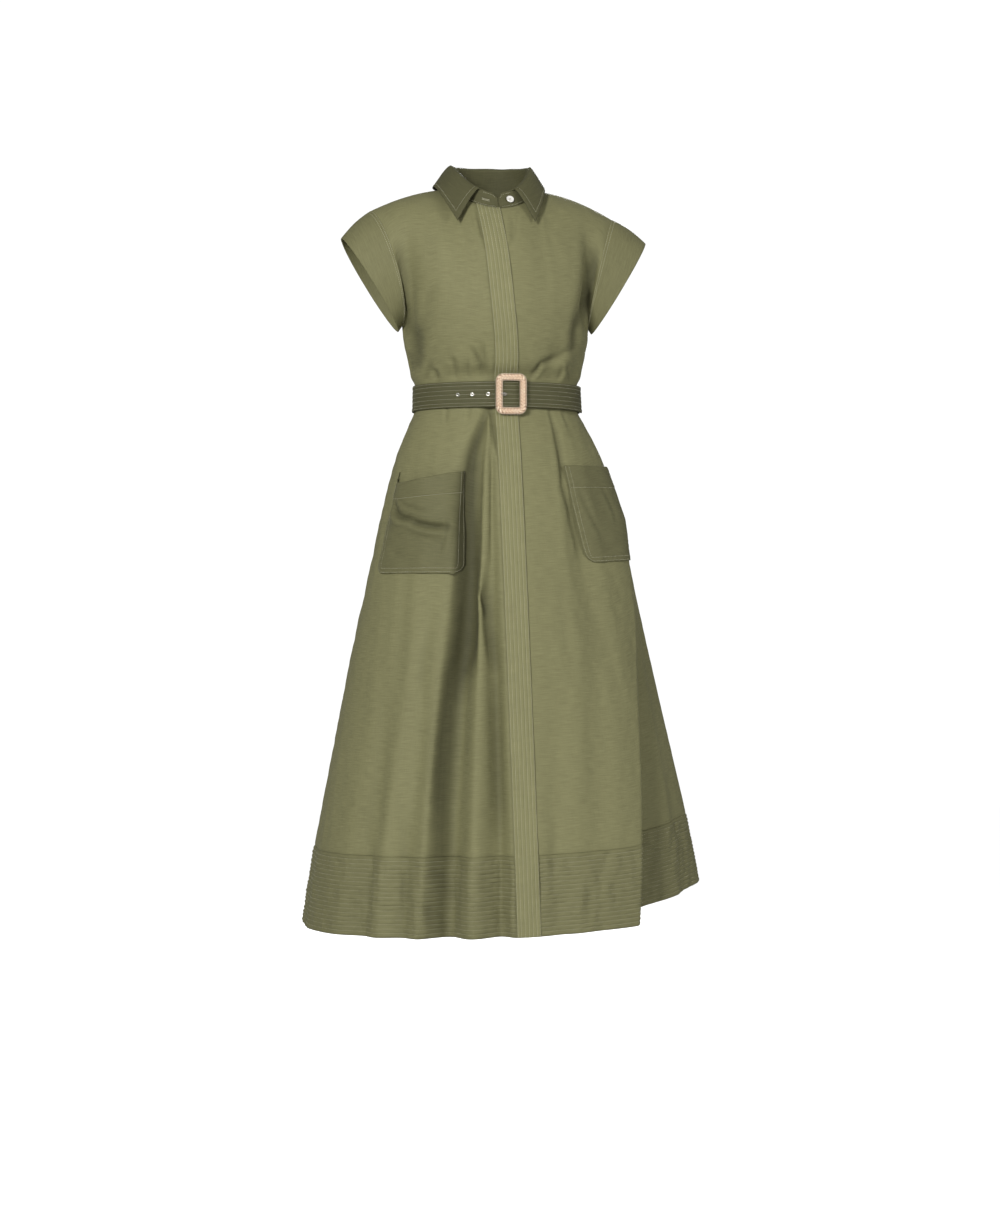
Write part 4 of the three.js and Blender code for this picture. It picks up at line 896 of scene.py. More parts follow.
def collar_form(q, share):
    turn = mix(COLLAR_START, 360 - COLLAR_START, q)
    lifted = smooth(share / 0.06)[..., None]
    fold = stand_edge(turn, np.ones_like(q)) + lifted * np.array([0, 0, DOUBLE_CLOTH])
    point_turn = math.asin(COLLAR_POINT["x"] / COLLAR_EDGE["half_width"])
    edge_turn = mix(point_turn, 2 * math.pi - point_turn, q)
    c = np.cos(edge_turn)
    drop = (c / math.cos(point_turn)) ** 2
    depth = np.where(c > 0, -COLLAR_POINT["y"] / math.cos(point_turn), COLLAR_EDGE["back"])
    end_z = np.where(c > 0, COLLAR_POINT["z"], COLLAR_EDGE["back_z"])
    edge = points(COLLAR_EDGE["middle"] - COLLAR_EDGE["half_width"] * np.sin(edge_turn), -depth * c,
                  mix(COLLAR_EDGE["side_z"], end_z, np.where(c > 0, drop, c * c)))
    out = edge - fold
    out[..., 2] = 0
    roll = (COLLAR_ROLL * np.sin(np.pi * np.sqrt(share)))[..., None]
    p = mix(fold, edge, share[..., None]) + unit(out) * (roll * 0.8 + DOUBLE_CLOTH * 0.9 * lifted)
    return p + np.array([0, 0, 1]) * (roll * 0.6 + DOUBLE_CLOTH * (0.6 * lifted - 0.15))


def collar_relief(q, share, p):
    edge = np.minimum(np.minimum(q, 1 - q) * COLLAR_LENGTH, (1 - share) * COLLAR_DEPTH)
    stitched = -0.45 * bell(edge - COLLAR_SEAM)
    rolled = -0.7 * bell(edge / 1.5)
    return stitched + rolled + 0.25 * ripple(q * 300, share * 40, 30, 32)


cloth_piece("collar_cloth", "collar", stations(0, 1, 150, fine=(0, 0.003, 0.007, 0.012, 0.017, 0.022)),
            stations(0, 1, 26, fine=(0, 0.02, 0.05, 0.08)), collar_form, collar_relief, thick=DOUBLE_CLOTH,
            material=collar_cloth)

# %% [markdown]
# The skirt's three panels hang in long folds. A crisp cotton also keeps small dents. Even noise would
# look like crumpled paper, so a low ripple is joined by a few short creases, uneven in length and depth.

# %% Skirt panels
SEAM_CLOSE, ALONG_LINES = 0.03, 0.45
panel_ends = {
    "front_right": (0, FRONT_OPENING),
    "front_left": (FRONT_OPENING, LEFT_SIDE),
    "back": (LEFT_SIDE, len(skirt_lines["hip"]) - 1),
}
panel_length = {"front_right": 300, "front_left": 300, "back": 640}
panel_columns = {"front_right": 88, "front_left": 88, "back": 168}
skirt_creases = table(
    CREASE,
    (-20, -318, -14, -404, 2, 4, 4),
    (-52, -316, -57, -352, -2, 3.4, 1.6),
    (-88, -316, -92, -356, 2, 3.6, 1.6),
    (22, -316, 26, -356, 2, 3, 1.2),
    (66, -316, 82, -372, -3, 4, 1.8),
    (98, -316, 112, -360, 2, 4, 1.6),
    (-29, -392, -38, -566, 2, 5.5, -4.5),
    (-52, -597, -38, -640, -3, 5, 3.4),
    (-38, -575, -33, -720, 3, 8, 6),
    (-32, -690, -36, -980, 1, 9, 4),
    (80, -348, 91, -450, -3, 7, 4.5),
    (91, -446, 120, -566, -4, 8, 4),
    (-250, -1090, -252, -930, 3, 9, 1.6),
    (-190, -1090, -186, -880, 3, 9, 1.8),
    (38, -1090, 44, -900, 2, 8, 1.4),
    (-120, -640, -150, -760, 8, 10, 1.2),
    (-60, -690, -70, -800, -6, 9, 1.2),
    (70, -600, 100, -760, 8, 10, 1.2),
    (130, -620, 170, -800, -8, 11, 1.2),
)

# %% Skirt pieces


def panel_angle(name, s, z):
    first, last = (line_angle(z.ravel(), end).reshape(z.shape) for end in panel_ends[name])
    gap = np.degrees(SEAM_CLOSE / skirt_width(z))
    start, end = panel_ends[name]
    lines = line_angle(z.ravel())[start:end + 1]
    at = s * (len(lines) - 1)
    i = np.clip(at.astype(int), 0, len(lines) - 2).ravel()
    n = np.arange(i.size)
    here, there = lines[i, n].reshape(z.shape), lines[i + 1, n].reshape(z.shape)
    even = mix(first, last, s)
    lined = mix(here, there, at - i.reshape(z.shape))
    return np.clip(mix(even, lined, ALONG_LINES), first + gap, last - gap)


main_trough = table(
    "z a before after depth",
    (-1100, -126, 34, 22, 4),
    (-980, -115, 30, 19, 6),
    (-890, -109, 28, 17, 8),
    (-765, -92, 27, 15, 9.5),
    (-675, -68, 27, 13, 10),
    (-595, -62, 26, 11, 10),
    (-470, -57, 22, 10, 10),
    (-404, -49, 15, 8, 8.5),
    (-343, -27, 7, 5, 5),
    (-312, -17, 4, 4, 0),
)
trough_at = {key: curve(main_trough, "z", key) for key in ("a", "before", "after", "depth")}


def deep_trough(p):
    """The one deep fold between the right pocket and the placket, which the pocket's edge follows."""
    z = np.minimum(p[..., 2] - 4, WAIST_Z)
    share = np.clip((p[..., 0] - lean(z)) / skirt_width(z), -1, 1)
    a = np.where(p[..., 1] < 0, np.arcsin(share) * skirt_width(z), -500)
    aside = a - trough_at["a"](z)
    reach = np.where(aside < 0, trough_at["before"](z), trough_at["after"](z))
    return trough_at["depth"](z) * bell(aside / reach)


def panel_form(name):
    return lambda s, z: skirt(panel_angle(name, s, z), z)


def panel_relief(name, seed):
    def relief(s, z, p):
        angle = panel_angle(name, s, z)
        a = np.radians(angle) * skirt_width(z)
        below = between(WAIST_Z, WAIST_Z - 30, z)
        fine = 0.45 * ripple(a, z * 0.3, 46, seed) + 0.2 * ripple(a, z * 0.7, 17, seed + 1)
        fine *= between(BAND_Z, BAND_Z + 14, z)
        band_seam = -0.7 * bell((z - BAND_Z) / 1.8)
        folded = seam_free(s, panel_length[name]) * (fine + creases(skirt_creases, a, z) - deep_trough(p))
        return below * folded + seam_roll(s, panel_length[name]) + band_seam

    return relief


skirt_heights = np.concatenate([[-984.95, -983.8, -982.4], np.linspace(-980, -312.2, 158)])
for seed, name in enumerate(panel_ends):
    share_fine = (0, 0.003, 0.007) if name != "back" else (0, 0.0014, 0.0035)
    cloth_piece(f"skirt_{name}_cloth", f"skirt_{name}", stations(0, 1, panel_columns[name], fine=share_fine),
                skirt_heights, panel_form(name), panel_relief(name, 41 + 10 * seed))

# %% [markdown]
# The hem band is quilted: eighteen close rows of stitches run round it through two layers, and the
# cloth puckers between them. A bump map would leave the hem's outline smooth, so the rows are in the
# mesh, and the puckers are an uneven swell.

# %% Hem band
BAND_CHANNELS, BAND_RELIEF = 18, 0.8
BAND_TOP = BAND_Z + 0.3


def band_relief(name, seed):
    def relief(s, z, p):
        share = (z - HEM_Z) / (BAND_TOP - HEM_Z)
        channel = np.floor(share * BAND_CHANNELS)
        a = np.radians(panel_angle(name, s, z)) * skirt_width(z)
        puff = np.abs(np.sin(np.pi * share * BAND_CHANNELS))
        pucker = 0.5 * ripple(a + channel * 41, z * 0.8, 11, seed)
        pucker += 0.4 * ripple(a + z * 0.6, z, 24, seed + 1)
        drawn = 0.9 * ripple(a, z * 0.2, 15, seed + 2) * between(BAND_TOP, BAND_TOP - 12, z)
        edges = -0.6 * bell((BAND_TOP - z) / 1.4) - 0.5 * bell((z - HEM_Z) / 1.2)
        free = seam_free(s, panel_length[name])
        folded = free * (drawn + creases(skirt_creases, a, z) - deep_trough(p))
        return puff * (BAND_RELIEF + pucker * free) + edges + folded

    return relief


band_heights = np.linspace(HEM_Z, BAND_TOP, BAND_CHANNELS * 6 + 1)
for seed, name in enumerate(panel_ends):
    columns = {"front_right": 104, "front_left": 104, "back": 190}[name]
    cloth_piece(f"band_{name}_cloth", f"hem_band_{name}", stations(0, 1, columns, fine=(0, 0.003)),
                band_heights, panel_form(name), band_relief(name, 71 + 10 * seed), thick=DOUBLE_CLOTH,
                material=band_shaded_cloth)

# %% [markdown]
# The placket hides the buttons. It is one strip from the neck to the hem, sewn with close vertical
# rows. A straight strip would cut through the folds, so it is a narrow grid that follows the bodice and
# then the skirt, one layer further out.

# %% Placket
PLACKET_WIDTH, PLACKET_CHANNELS, PLACKET_RELIEF = 34, 6, 0.6


def placket_form(across, way):
    """way is a height on the skirt where it is below zero, and a level of the bodice above it."""
    offset = across * PLACKET_WIDTH / 2
    z = np.where(way < 0, way, WAIST_Z)
    level = np.where(way < 0, 1.0, way)
    angle = np.degrees(np.arcsin((placket_drift(z) + offset) / skirt_width(z)))
    low = skirt(angle, z) + skirt_normal(angle, z) * (LAYER_GAP + CLOTH)
    u = bodice_share_at(bodice_placket_x(level) + offset, level)
    high = bodice("front", u, level) + bodice_normal("front", u, level) * (LAYER_GAP + CLOTH)
    return np.where((way < 0)[..., None], low, high)


def placket_relief(across, way, p):
    share = (across + 1) / 2
    channel = np.floor(share * PLACKET_CHANNELS)
    pucker = 0.3 * ripple(p[..., 2] + channel * 37, share * 20, 12, 91)
    puff = np.abs(np.sin(np.pi * share * PLACKET_CHANNELS))
    over_band = np.where(way < BAND_Z + 1, BAND_RELIEF, 0)
    return puff * (PLACKET_RELIEF + pucker) + over_band + 0.25 * ripple(p[..., 2], 0, 40, 92)


placket_way = np.concatenate([np.linspace(HEM_Z, BAND_Z + 0.5, 42), np.linspace(BAND_Z + 2, -313, 240),
                              np.linspace(0.03, 1.985, 104)])
cloth_piece("placket_cloth", "placket", np.linspace(-1, 1, PLACKET_CHANNELS * 6 + 1), placket_way,
            placket_form, placket_relief, thick=DOUBLE_CLOTH + LAYER_GAP, material=placket_cloth)

# %% [markdown]
# Patch pockets are flat pieces with rounded lower corners and a turned hem at the mouth. The right
# one stands a little open, so its mouth sags and a deep fold crosses it. Both are laid on the skirt's
# own form, so a pocket bends with the cloth it is sewn to.

# %% Pockets
POCKET = {"corner": 17, "hem": 33, "hem_relief": 0.7, "gap": 0.9, "seams": (1.8, 7.5)}
pockets = table(
    "top bottom low_top low_bottom high_top high_bottom gape sag puff",
    (-425, -576, -70, -73, -21, -20.5, 20, 17, 7),
    (-417, -563, 34, 38, 82, 77, 2.4, 0, 1),
)
pocket_creases = {
    "right": table(
        CREASE,
        (18, 116, 60, 80, 10, 6, 6),
        (50, 82, 112, 66, 4, 5.5, 6),
        (30, 116, 84, 92, 4, 3.4, 1.8),
        (96, 30, 108, 84, 2, 3.6, 1.6),
        (20, 40, 60, 22, 4, 6, 1),
    ),
    "left": table(
        CREASE,
        (16, 120, 36, 40, 4, 5, 1.4),
        (60, 116, 74, 60, -3, 5, 1.2),
        (30, 20, 80, 26, 3, 6, 0.9),
    ),
}


def pocket_form(top, bottom, low_top, low_bottom, high_top, high_bottom, gape, sag, puff):
    span = top - bottom

    def form(s, t):
        rise = t * span
        radius = POCKET["corner"]
        cut = np.where(rise < radius, radius - np.sqrt(np.maximum(0, radius**2 - (radius - rise) ** 2)), 0)
        inset = np.degrees(cut / skirt_width(bottom + rise))
        low, high = mix(low_bottom, low_top, t) + inset, mix(high_bottom, high_top, t) - inset
        angle = mix(low, high, s)
        opened = gape * np.sin(np.pi * s) ** 0.8 * smooth((t - 0.3) / 0.7)
        opened += puff * between(0, 0.22, s) * between(1, 0.8, s) * bell((t - 0.52) / 0.22)
        level = bottom + rise - sag * np.sin(np.pi * s**0.43) * t**3
        out = POCKET["gap"] + opened + CLOTH + POCKET["hem_relief"] * (t > 1 - POCKET["hem"] / span)
        return skirt(angle, level) + skirt_normal(angle, level) * out[..., None]

    return form


def pocket_relief(name, span, width):
    def relief(s, t, p):
        a, b = s * width, t * span
        edge = np.minimum(np.minimum(a, width - a), b)
        outer, inner = POCKET["seams"]
        stitched = -0.35 * bell((edge - outer) / 0.8) - 0.3 * bell((edge - inner) / 0.9)
        hem_line = -0.7 * bell((b - span + POCKET["hem"]) / 1.1)
        pucker = 0.25 * ripple(a, b, 8, 95) * bell((edge - 5) / 5)
        mouth = -0.5 * bell((b - span) / 1.3)
        soft = 0.35 * ripple(a, b, 40, 96)
        sewn = stitched + hem_line + pucker + mouth
        return sewn + soft + creases(pocket_creases[name], a, b) - deep_trough(p)

    return relief


pocket_width = {"right": 128, "left": 118}
for name, row in zip(("right", "left"), zip(*pockets.values())):
    span = row[0] - row[1]
    cloth_piece(f"pocket_{name}_cloth", f"pocket_{name}", stations(0, 1, 60, fine=(0, 0.012, 0.025)),
                stations(0, 1, 76, fine=(0, 0.008, 0.02)), pocket_form(*row),
                pocket_relief(name, span, pocket_width[name]), material=pocket_shaded_cloth)

# %% [markdown]
# The belt is one strap, sewn with close rows along it. It starts at the buckle, goes round by the
# left side and the back, passes over its own start and ends at the left side. It follows the rings of
# the waist, moved out by the layers below it, which a plain circle wouldn't.

# %% Belt
BELT_WIDTH, BELT_CHANNELS, BELT_RELIEF = 38, 6, 0.5
BELT_TOP_Z, BELT_TAIL_END = -293.5, 96
BUCKLE = {"angle": 3.7, "width": 46, "height": 60, "band": 10.5, "corner": 9, "thickness": 5}
EYELET = {"radius": 2.9, "hole": 1.5, "last_to_buckle": 9.2}
BELT_START, BELT_END = BUCKLE["angle"] + 2.2, 360 + BELT_TAIL_END
BELT_LAYER = BELT_CLOTH + BELT_RELIEF + 0.4


def belt_point(turn, down, far):
    turn, down, far = np.broadcast_arrays(*(np.asarray(v, float) for v in (turn, down, far)))
    c, s = np.cos(np.radians(turn)), np.sin(np.radians(turn))
    z = BELT_TOP_Z + 2 * c - 2 - BELT_WIDTH * down
    above = z > WAIST_Z
    width = np.where(above, bodice_width(z), skirt_width(z))
    front = np.where(above, bodice_depth["front"](z), skirt_front(z))
    back = np.where(above, bodice_depth["back"](z), skirt_back(z))
    over_placket = 2.6 * (1 - between(9, 18, np.abs((turn + 180) % 360 - 180 - 1)))
    out = 1.3 + over_placket + between(322, 354, turn) * BELT_LAYER + far
    return points(lean(z) + (width + out) * s, -(np.where(c > 0, front, back) + out) * c, z)


def belt_form(turn, up):
    narrow = 0.4 * np.clip((turn - (BELT_END - 9)) / 9, 0, 1) ** 1.5
    return belt_point(turn, mix(1 - narrow, narrow, up), BELT_CLOTH)


def belt_relief(turn, up, p):
    channel = np.floor(up * BELT_CHANNELS)
    pucker = 0.16 * ripple(turn * 2.2 + channel * 31, up * 12, 14, 97)
    puff = np.abs(np.sin(np.pi * up * BELT_CHANNELS))
    return puff * (BELT_RELIEF + pucker)


def strap_frame(turn):
    at = belt_point(turn, 0.5, 0)
    ahead = belt_point(turn + 0.5, 0.5, 0) - belt_point(turn - 0.5, 0.5, 0)
    return at, unit(np.cross(ahead, [0, 0, 1]))


belt_radius = float(skirt_width(WAIST_Z)) + 6
last_eyelet = BUCKLE["angle"] - math.degrees(EYELET["last_to_buckle"] / belt_radius)
eyelet_turns = [-32.5, -21.9, -10.8, last_eyelet]


def punch_belt(bm):
    """Opens a round hole in the strap's grid for each eyelet."""
    radius = (EYELET["hole"] + 0.6) * MM
    for turn in eyelet_turns:
        at, outward = strap_frame(360 + turn)
        centre = Vector(at * MM) + Vector(outward) * BELT_CLOTH * MM
        inside = [f for f in bm.faces if (f.calc_center_median() - centre).length < radius]
        around = {v for f in inside for v in f.verts if any(g not in inside for g in v.link_faces)}
        bmesh.ops.delete(bm, geom=inside, context="FACES")
        for v in around:
            v.co = centre + (v.co - centre).normalized() * radius


belt_turns = np.concatenate([np.linspace(BELT_START, 320, 150), np.linspace(321, 372, 140),
                             np.linspace(372.8, BELT_END, 64)])
cloth_piece("belt_cloth", "belt", belt_turns, np.linspace(0, 1, BELT_CHANNELS * 6 + 1), belt_form,
            belt_relief, thick=BELT_CLOTH, material=belt_cloth, holes=punch_belt)

# %% [markdown]
# The buckle is a flat frame plaited over with straw. A three-strand plait runs round it: each strand
# weaves from edge to edge, and pale binding stitches close the inner and outer edges. Straw is pale and
# fibrous along each strand, which a fine, stretched noise gives both as colour and as a small bump.

# %% Buckle finishes
straw, nodes, shader, fibres = speckled("plaited_straw", 0.55, 420, (0.8, 0.55, 0.36), (0.97, 0.84, 0.64),
                                        stretch=(1, 1, 0.35), span=(0.3, 0.62))
shader.inputs["Sheen Weight"].default_value = 0.2
bump(nodes, shader, fibres, 0.6, 0.0004)
# Painted shade: the core is dark brown so that the gaps between the strands look shaded.
shaded_straw_core = speckled("shaded_straw_core", 0.8, 500, (0.14, 0.06, 0.03), (0.3, 0.15, 0.08))[0]
pale_straw = speckled("pale_straw", 0.5, 300, (0.8, 0.6, 0.42), (0.96, 0.84, 0.68))[0]
print("straw finishes:", [m.name for m in (straw, shaded_straw_core, pale_straw)])

# %% [markdown]
# A stitch is a small, flattened bead, and a row of them follows a line. They could be instances on a
# curve, but a piece is one mesh, so a row is read off the laid cloth and its beads are joined.

# %% Sewing helper


def on_cloth(name, u, v):
    """Points of a laid piece of cloth and its normals, at columns u and rows v between its stations."""
    cloth = cloth_pieces[name]
    c = np.interp(u, *ordered(cloth["us"]))
    r = np.interp(v, *ordered(cloth["vs"]))
    c0 = np.minimum(c.astype(int), len(cloth["us"]) - 2)
    r0 = np.minimum(r.astype(int), len(cloth["vs"]) - 2)
    fc, fr = (c - c0)[:, None], (r - r0)[:, None]
    read = []
    for grid in (cloth["points"], cloth["normals"]):
        low = mix(grid[r0, c0], grid[r0, c0 + 1], fc)
        read.append(mix(low, mix(grid[r0 + 1, c0], grid[r0 + 1, c0 + 1], fc), fr))
    return read[0], unit(read[1])


def ordered(values):
    """Stations that rise, with their numbers, for reading a place between them."""
    numbers = np.arange(len(values))
    return (values, numbers) if values[-1] > values[0] else (values[::-1], numbers[::-1])


def sew(name, runs, material, pitch=3.0, size=(2.3, 0.55, 0.4), lift=0.1, slot="cloth"):
    """Joins small stitches into one mesh. A run is points and normals along a row of stitches."""
    bm = bmesh.new()
    bmesh.ops.create_uvsphere(bm, u_segments=4, v_segments=2, radius=0.5)
    bm.verts.ensure_lookup_table()
    shape = np.array([v.co for v in bm.verts])
    faces = np.array([[v.index for v in f.verts] for f in bm.faces])
    bm.free()
    centres, frames = [], []
    for p, normal in runs:
        far = np.concatenate([[0], np.cumsum(np.linalg.norm(np.diff(p, axis=0), axis=1))])
        at = np.arange(pitch / 2, far[-1], pitch)
        if len(at) == 0:
            continue
        centre = np.stack([np.interp(at, far, p[:, k]) for k in range(3)], axis=1)
        ahead = unit(np.stack([np.interp(at + 0.6, far, p[:, k]) - np.interp(at - 0.6, far, p[:, k])
                               for k in range(3)], axis=1))
        up = unit(np.stack([np.interp(at, far, normal[:, k]) for k in range(3)], axis=1))
        side = unit(np.cross(up, ahead))
        centres.append(centre + up * lift)
        frames.append(np.stack([ahead * size[0], side * size[1], up * size[2]], axis=1))
    centres, frames = np.concatenate(centres), np.concatenate(frames)
    verts = centres[:, None, :] + np.einsum("vk,nkx->nvx", shape, frames)
    count = len(centres)
    numbers = (faces[None] + (np.arange(count) * len(shape))[:, None, None]).reshape(-1, faces.shape[1])
    mesh = bpy.data.meshes.new(name)
    mesh.from_pydata((verts.reshape(-1, 3) * MM).tolist(), [], numbers.tolist())
    mesh.shade_smooth()
    piece = bpy.data.objects.new(name, mesh)
    bpy.context.collection.objects.link(piece)
    print(f"{name}: {count} stitches")
    return keep(piece, material, slot=slot)


def seam_run(name, u, v, count=400):
    """A run of stitches between two columns or two rows of a laid piece."""
    t = np.linspace(0, 1, count)
    return on_cloth(name, mix(u[0], u[1], t), mix(v[0], v[1], t))

# %% [markdown]
# The frame is a rounded rectangle, given by the share of the way round it. A strand is a closed tube of
# rings that swings across that line and rises at each crossing. Three of them, a third of a turn apart,
# make the plait, over a core painted dark brown as painted shade in the gaps between them.

# %% Buckle
PLAIT = {"swing": 2.5, "rise": 1.1, "strand": 1.15, "step": 15.0, "samples": 30}
buckle_middle = belt_point(360 + BUCKLE["angle"], 0.5, 0)
frame_out = BELT_CLOTH + BELT_RELIEF + 0.9 + BUCKLE["thickness"] / 2


def on_buckle(x, out, z):
    return buckle_middle + points(x, -np.asarray(out), z)


def frame_path(s):
    """The middle line of the frame by the share of the way round it, with its outward direction."""
    w = (BUCKLE["width"] - BUCKLE["band"]) / 2
    h = (BUCKLE["height"] - BUCKLE["band"]) / 2
    corner = BUCKLE["corner"] - 3
    arc = corner * math.pi / 2
    sides = [2 * (h - corner), arc, 2 * (w - corner), arc] * 2
    starts = np.concatenate([[0], np.cumsum(sides)])
    far = (np.asarray(s) % 1) * starts[-1]
    i = np.minimum(np.searchsorted(starts, far, side="right") - 1, 7)
    along_side = far - starts[i]
    quarter = i // 2
    turn = np.where(i % 2 == 0, 0, along_side / corner) + quarter * math.pi / 2
    cx = np.choose(quarter, [w - corner, -(w - corner), -(w - corner), w - corner])
    cz = np.choose(quarter, [h - corner, h - corner, -(h - corner), -(h - corner)])
    straight = np.where(i % 2 == 0, np.array(sides)[i] - along_side, 0)
    dx, dz = np.cos(turn), np.sin(turn)
    return cx + corner * dx + straight * dz, cz + corner * dz - straight * dx, dx, dz, starts[-1]


def tube_strip(bm, rings):
    """Bridges closed rings of points into a tube that closes on itself."""
    made = [[bm.verts.new(Vector(q) * MM) for q in ring] for ring in rings]
    edges = []
    for ring in made:
        edges.append([bm.edges.new((ring[k], ring[(k + 1) % len(ring)])) for k in range(len(ring))])
    for a, b in zip(edges, edges[1:] + edges[:1]):
        bmesh.ops.bridge_loops(bm, edges=a + b)


def ring_rings(count, across, out, wide, thick, sides):
    """Rings round a line that follows the frame, set aside by across and out by out."""
    s = np.arange(count) / count
    x, z, dx, dz, _ = frame_path(s)
    rings = []
    for k in range(count):
        turn = np.arange(sides) * 2 * math.pi / sides
        reach = across[k] + wide * np.cos(turn)
        rings.append(on_buckle(x[k] + dx[k] * reach, out[k] + thick * np.sin(turn), z[k] + dz[k] * reach))
    return rings

# %% Plait and core
half_band, core_rings = BUCKLE["band"] / 2, 120
length = frame_path(0.0)[4]
crossings = round(length / PLAIT["step"])
count = crossings * PLAIT["samples"]
s = np.arange(count) / count
bm = bmesh.new()
tube_strip(bm, ring_rings(core_rings, np.zeros(core_rings), np.full(core_rings, frame_out - 0.4),
                          half_band - 0.6, 1.8, 10))
bmesh.ops.recalc_face_normals(bm, faces=bm.faces)
keep(new_object("buckle_core", bm), shaded_straw_core, slot="straw")
bm = bmesh.new()
for strand in range(3):
    t = 2 * math.pi * (s * crossings + strand / 3)
    rings = ring_rings(count, PLAIT["swing"] * np.sin(t), frame_out + 1.0 + PLAIT["rise"] * np.sin(2 * t),
                       PLAIT["strand"], 0.8, 6)
    tube_strip(bm, rings)
bmesh.ops.recalc_face_normals(bm, faces=bm.faces)
buckle_plait = keep(new_object("buckle_plait", bm), straw, "buckle", slot="straw")
print("plait:", crossings, "crossings,", len(buckle_plait.data.polygons), "faces")


def edge_run(across, out, count=500):
    x, z, dx, dz, _ = frame_path(np.linspace(0, 0.9999, count))
    p = on_buckle(x + dx * across, np.full(count, out), z + dz * across)
    return p, unit(points(dx * np.sign(across), np.full(count, -0.8), dz * np.sign(across)))


bound = [edge_run(side * (half_band - 0.7), frame_out + 0.9) for side in (1, -1)]
sew("buckle_binding", bound, pale_straw, pitch=2.4, size=(1.9, 1.9, 2.3), lift=0, slot="straw")

# %% [markdown]
# The prong and the four eyelets are bright metal. The prong's solid is fine enough to show as it is.
# An eyelet could be a torus, but a real one has a flat flange and a rolled rim, so it is a small
# profile turned round its own axis with a spin.

# %% Metal
steel, nodes, shader = principled("bright_steel", 0.25, 1.0)
shader.inputs["Base Color"].default_value = (0.72, 0.7, 0.64, 1)
place = nodes.new("ShaderNodeTexCoord").outputs["Object"]
brushed = noise(nodes, place, 900, 4.0, (1, 1, 0.1))
link(nodes, math_node(nodes, "MULTIPLY_ADD", brushed, 0.25, 0.12), shader.inputs["Roughness"])
bump(nodes, shader, brushed, 0.2, 0.0001)
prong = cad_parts["buckle_prong"]
prong.data.materials.clear()
prong.data.materials.append(steel)


def turned_piece(name, profile, at, outward, segments, material, node, slot):
    """Turns an outline of radius and height round the outward direction at a point."""
    bm = bmesh.new()
    verts = [bm.verts.new((radius * MM, 0, up * MM)) for radius, up in profile]
    edges = [bm.edges.new(pair) for pair in zip(verts, verts[1:])]
    bmesh.ops.spin(bm, geom=verts + edges, cent=(0, 0, 0), axis=(0, 0, 1), angle=2 * math.pi, steps=segments,
                   use_merge=True)
    bmesh.ops.remove_doubles(bm, verts=bm.verts, dist=1e-6)
    bmesh.ops.recalc_face_normals(bm, faces=bm.faces)
    turn = Vector((0, 0, 1)).rotation_difference(Vector(outward)).to_matrix().to_4x4()
    bmesh.ops.transform(bm, matrix=Matrix.Translation(Vector(at) * MM) @ turn, verts=bm.verts)
    return keep(new_object(name, bm), material, node, slot=slot)


hole, rim = EYELET["hole"], EYELET["radius"]
eyelet_profile = [
    (hole, 0.1),
    (hole + 0.5, 0.1),
    (hole + 0.5, BELT_LAYER - 0.3),
    (rim, BELT_LAYER - 0.3),
    (rim + 0.05, BELT_LAYER),
    (hole + 1.05, BELT_LAYER + 0.55),
    (hole + 0.6, BELT_LAYER + 0.7),
    (hole + 0.2, BELT_LAYER + 0.55),
    (hole, BELT_LAYER + 0.2),
    (hole, 0.1),
]
for number, turn in enumerate(eyelet_turns, 1):
    at, outward = strap_frame(360 + turn)
    turned_piece(f"eyelet_ring_{number}", eyelet_profile, at, outward, 28, steel,
                 f"eyelet_{number}", "steel")
print("eyelets:", len(eyelet_turns))

# %% [markdown]
# The collar button is a small pearl disc with a raised rim and four holes, sewn on by a cross of
# thread. Its profile is spun too. The holes aren't on its axis, so a Boolean cuts them, and the cut
# mesh takes the place of the modifier.

# %% Button
pearl, _, shader, _ = speckled("pearl_button", 0.22, 260, (0.58, 0.56, 0.5), (0.76, 0.75, 0.72), detail=2.0)
shader.inputs["Coat Weight"].default_value = 0.4
BUTTON = {"turn": 343, "holes_aside": 1.5 / 1.3, "hole": 0.65}
low, high, before, after, button_at = stand_edge(
    np.array([0, 0, -2, 2, 0]) + BUTTON["turn"], np.array([0.2, 0.7, 0.42, 0.42, 0.42]))
button_out = unit(np.cross(high - low, after - before))
button_at = button_at + button_out * (DOUBLE_CLOTH / 2 + 0.7)
button_profile = [(0, 0), (4.2, 0), (5.3, 0.5), (5.7, 1.1), (5.65, 1.8), (5.2, 2.25), (4.6, 2.2),
                  (3.9, 1.75), (2.6, 1.6), (0, 1.6)]
button = turned_piece("pearl_button_disc", button_profile, button_at, button_out, 40, pearl,
                      "button", "shell")
turn = Vector((0, 0, 1)).rotation_difference(Vector(button_out)).to_matrix()
side_a, side_b = (np.array(turn @ Vector(v)) for v in ((1, 0, 0), (0, 1, 0)))
bm = bmesh.new()
for a, b in ((1, 1), (1, -1), (-1, 1), (-1, -1)):
    centre = button_at + (side_a * a + side_b * b) * BUTTON["holes_aside"] + button_out
    place_hole = Matrix.Translation(Vector(centre) * MM) @ turn.to_4x4()
    bmesh.ops.create_cone(bm, cap_ends=True, segments=14, radius1=BUTTON["hole"] * MM,
                          radius2=BUTTON["hole"] * MM, depth=5 * MM, matrix=place_hole)
cutter = new_object("button_drill", bm)
cut = button.modifiers.new("holes", "BOOLEAN")
cut.object, cut.solver = cutter, "EXACT"
drilled = bpy.data.meshes.new_from_object(button.evaluated_get(bpy.context.evaluated_depsgraph_get()))
button.modifiers.clear()
button.data = drilled
bpy.data.objects.remove(cutter)
print("button:", len(button.data.polygons), "faces")

# %% [markdown]
# The sewing is what makes the quilting: close rows of stitches, paler than the cloth. A dashed texture
# would lie flat, while beads catch the light. Each row is read off the laid cloth, so it lies in the dip
# between two channels.

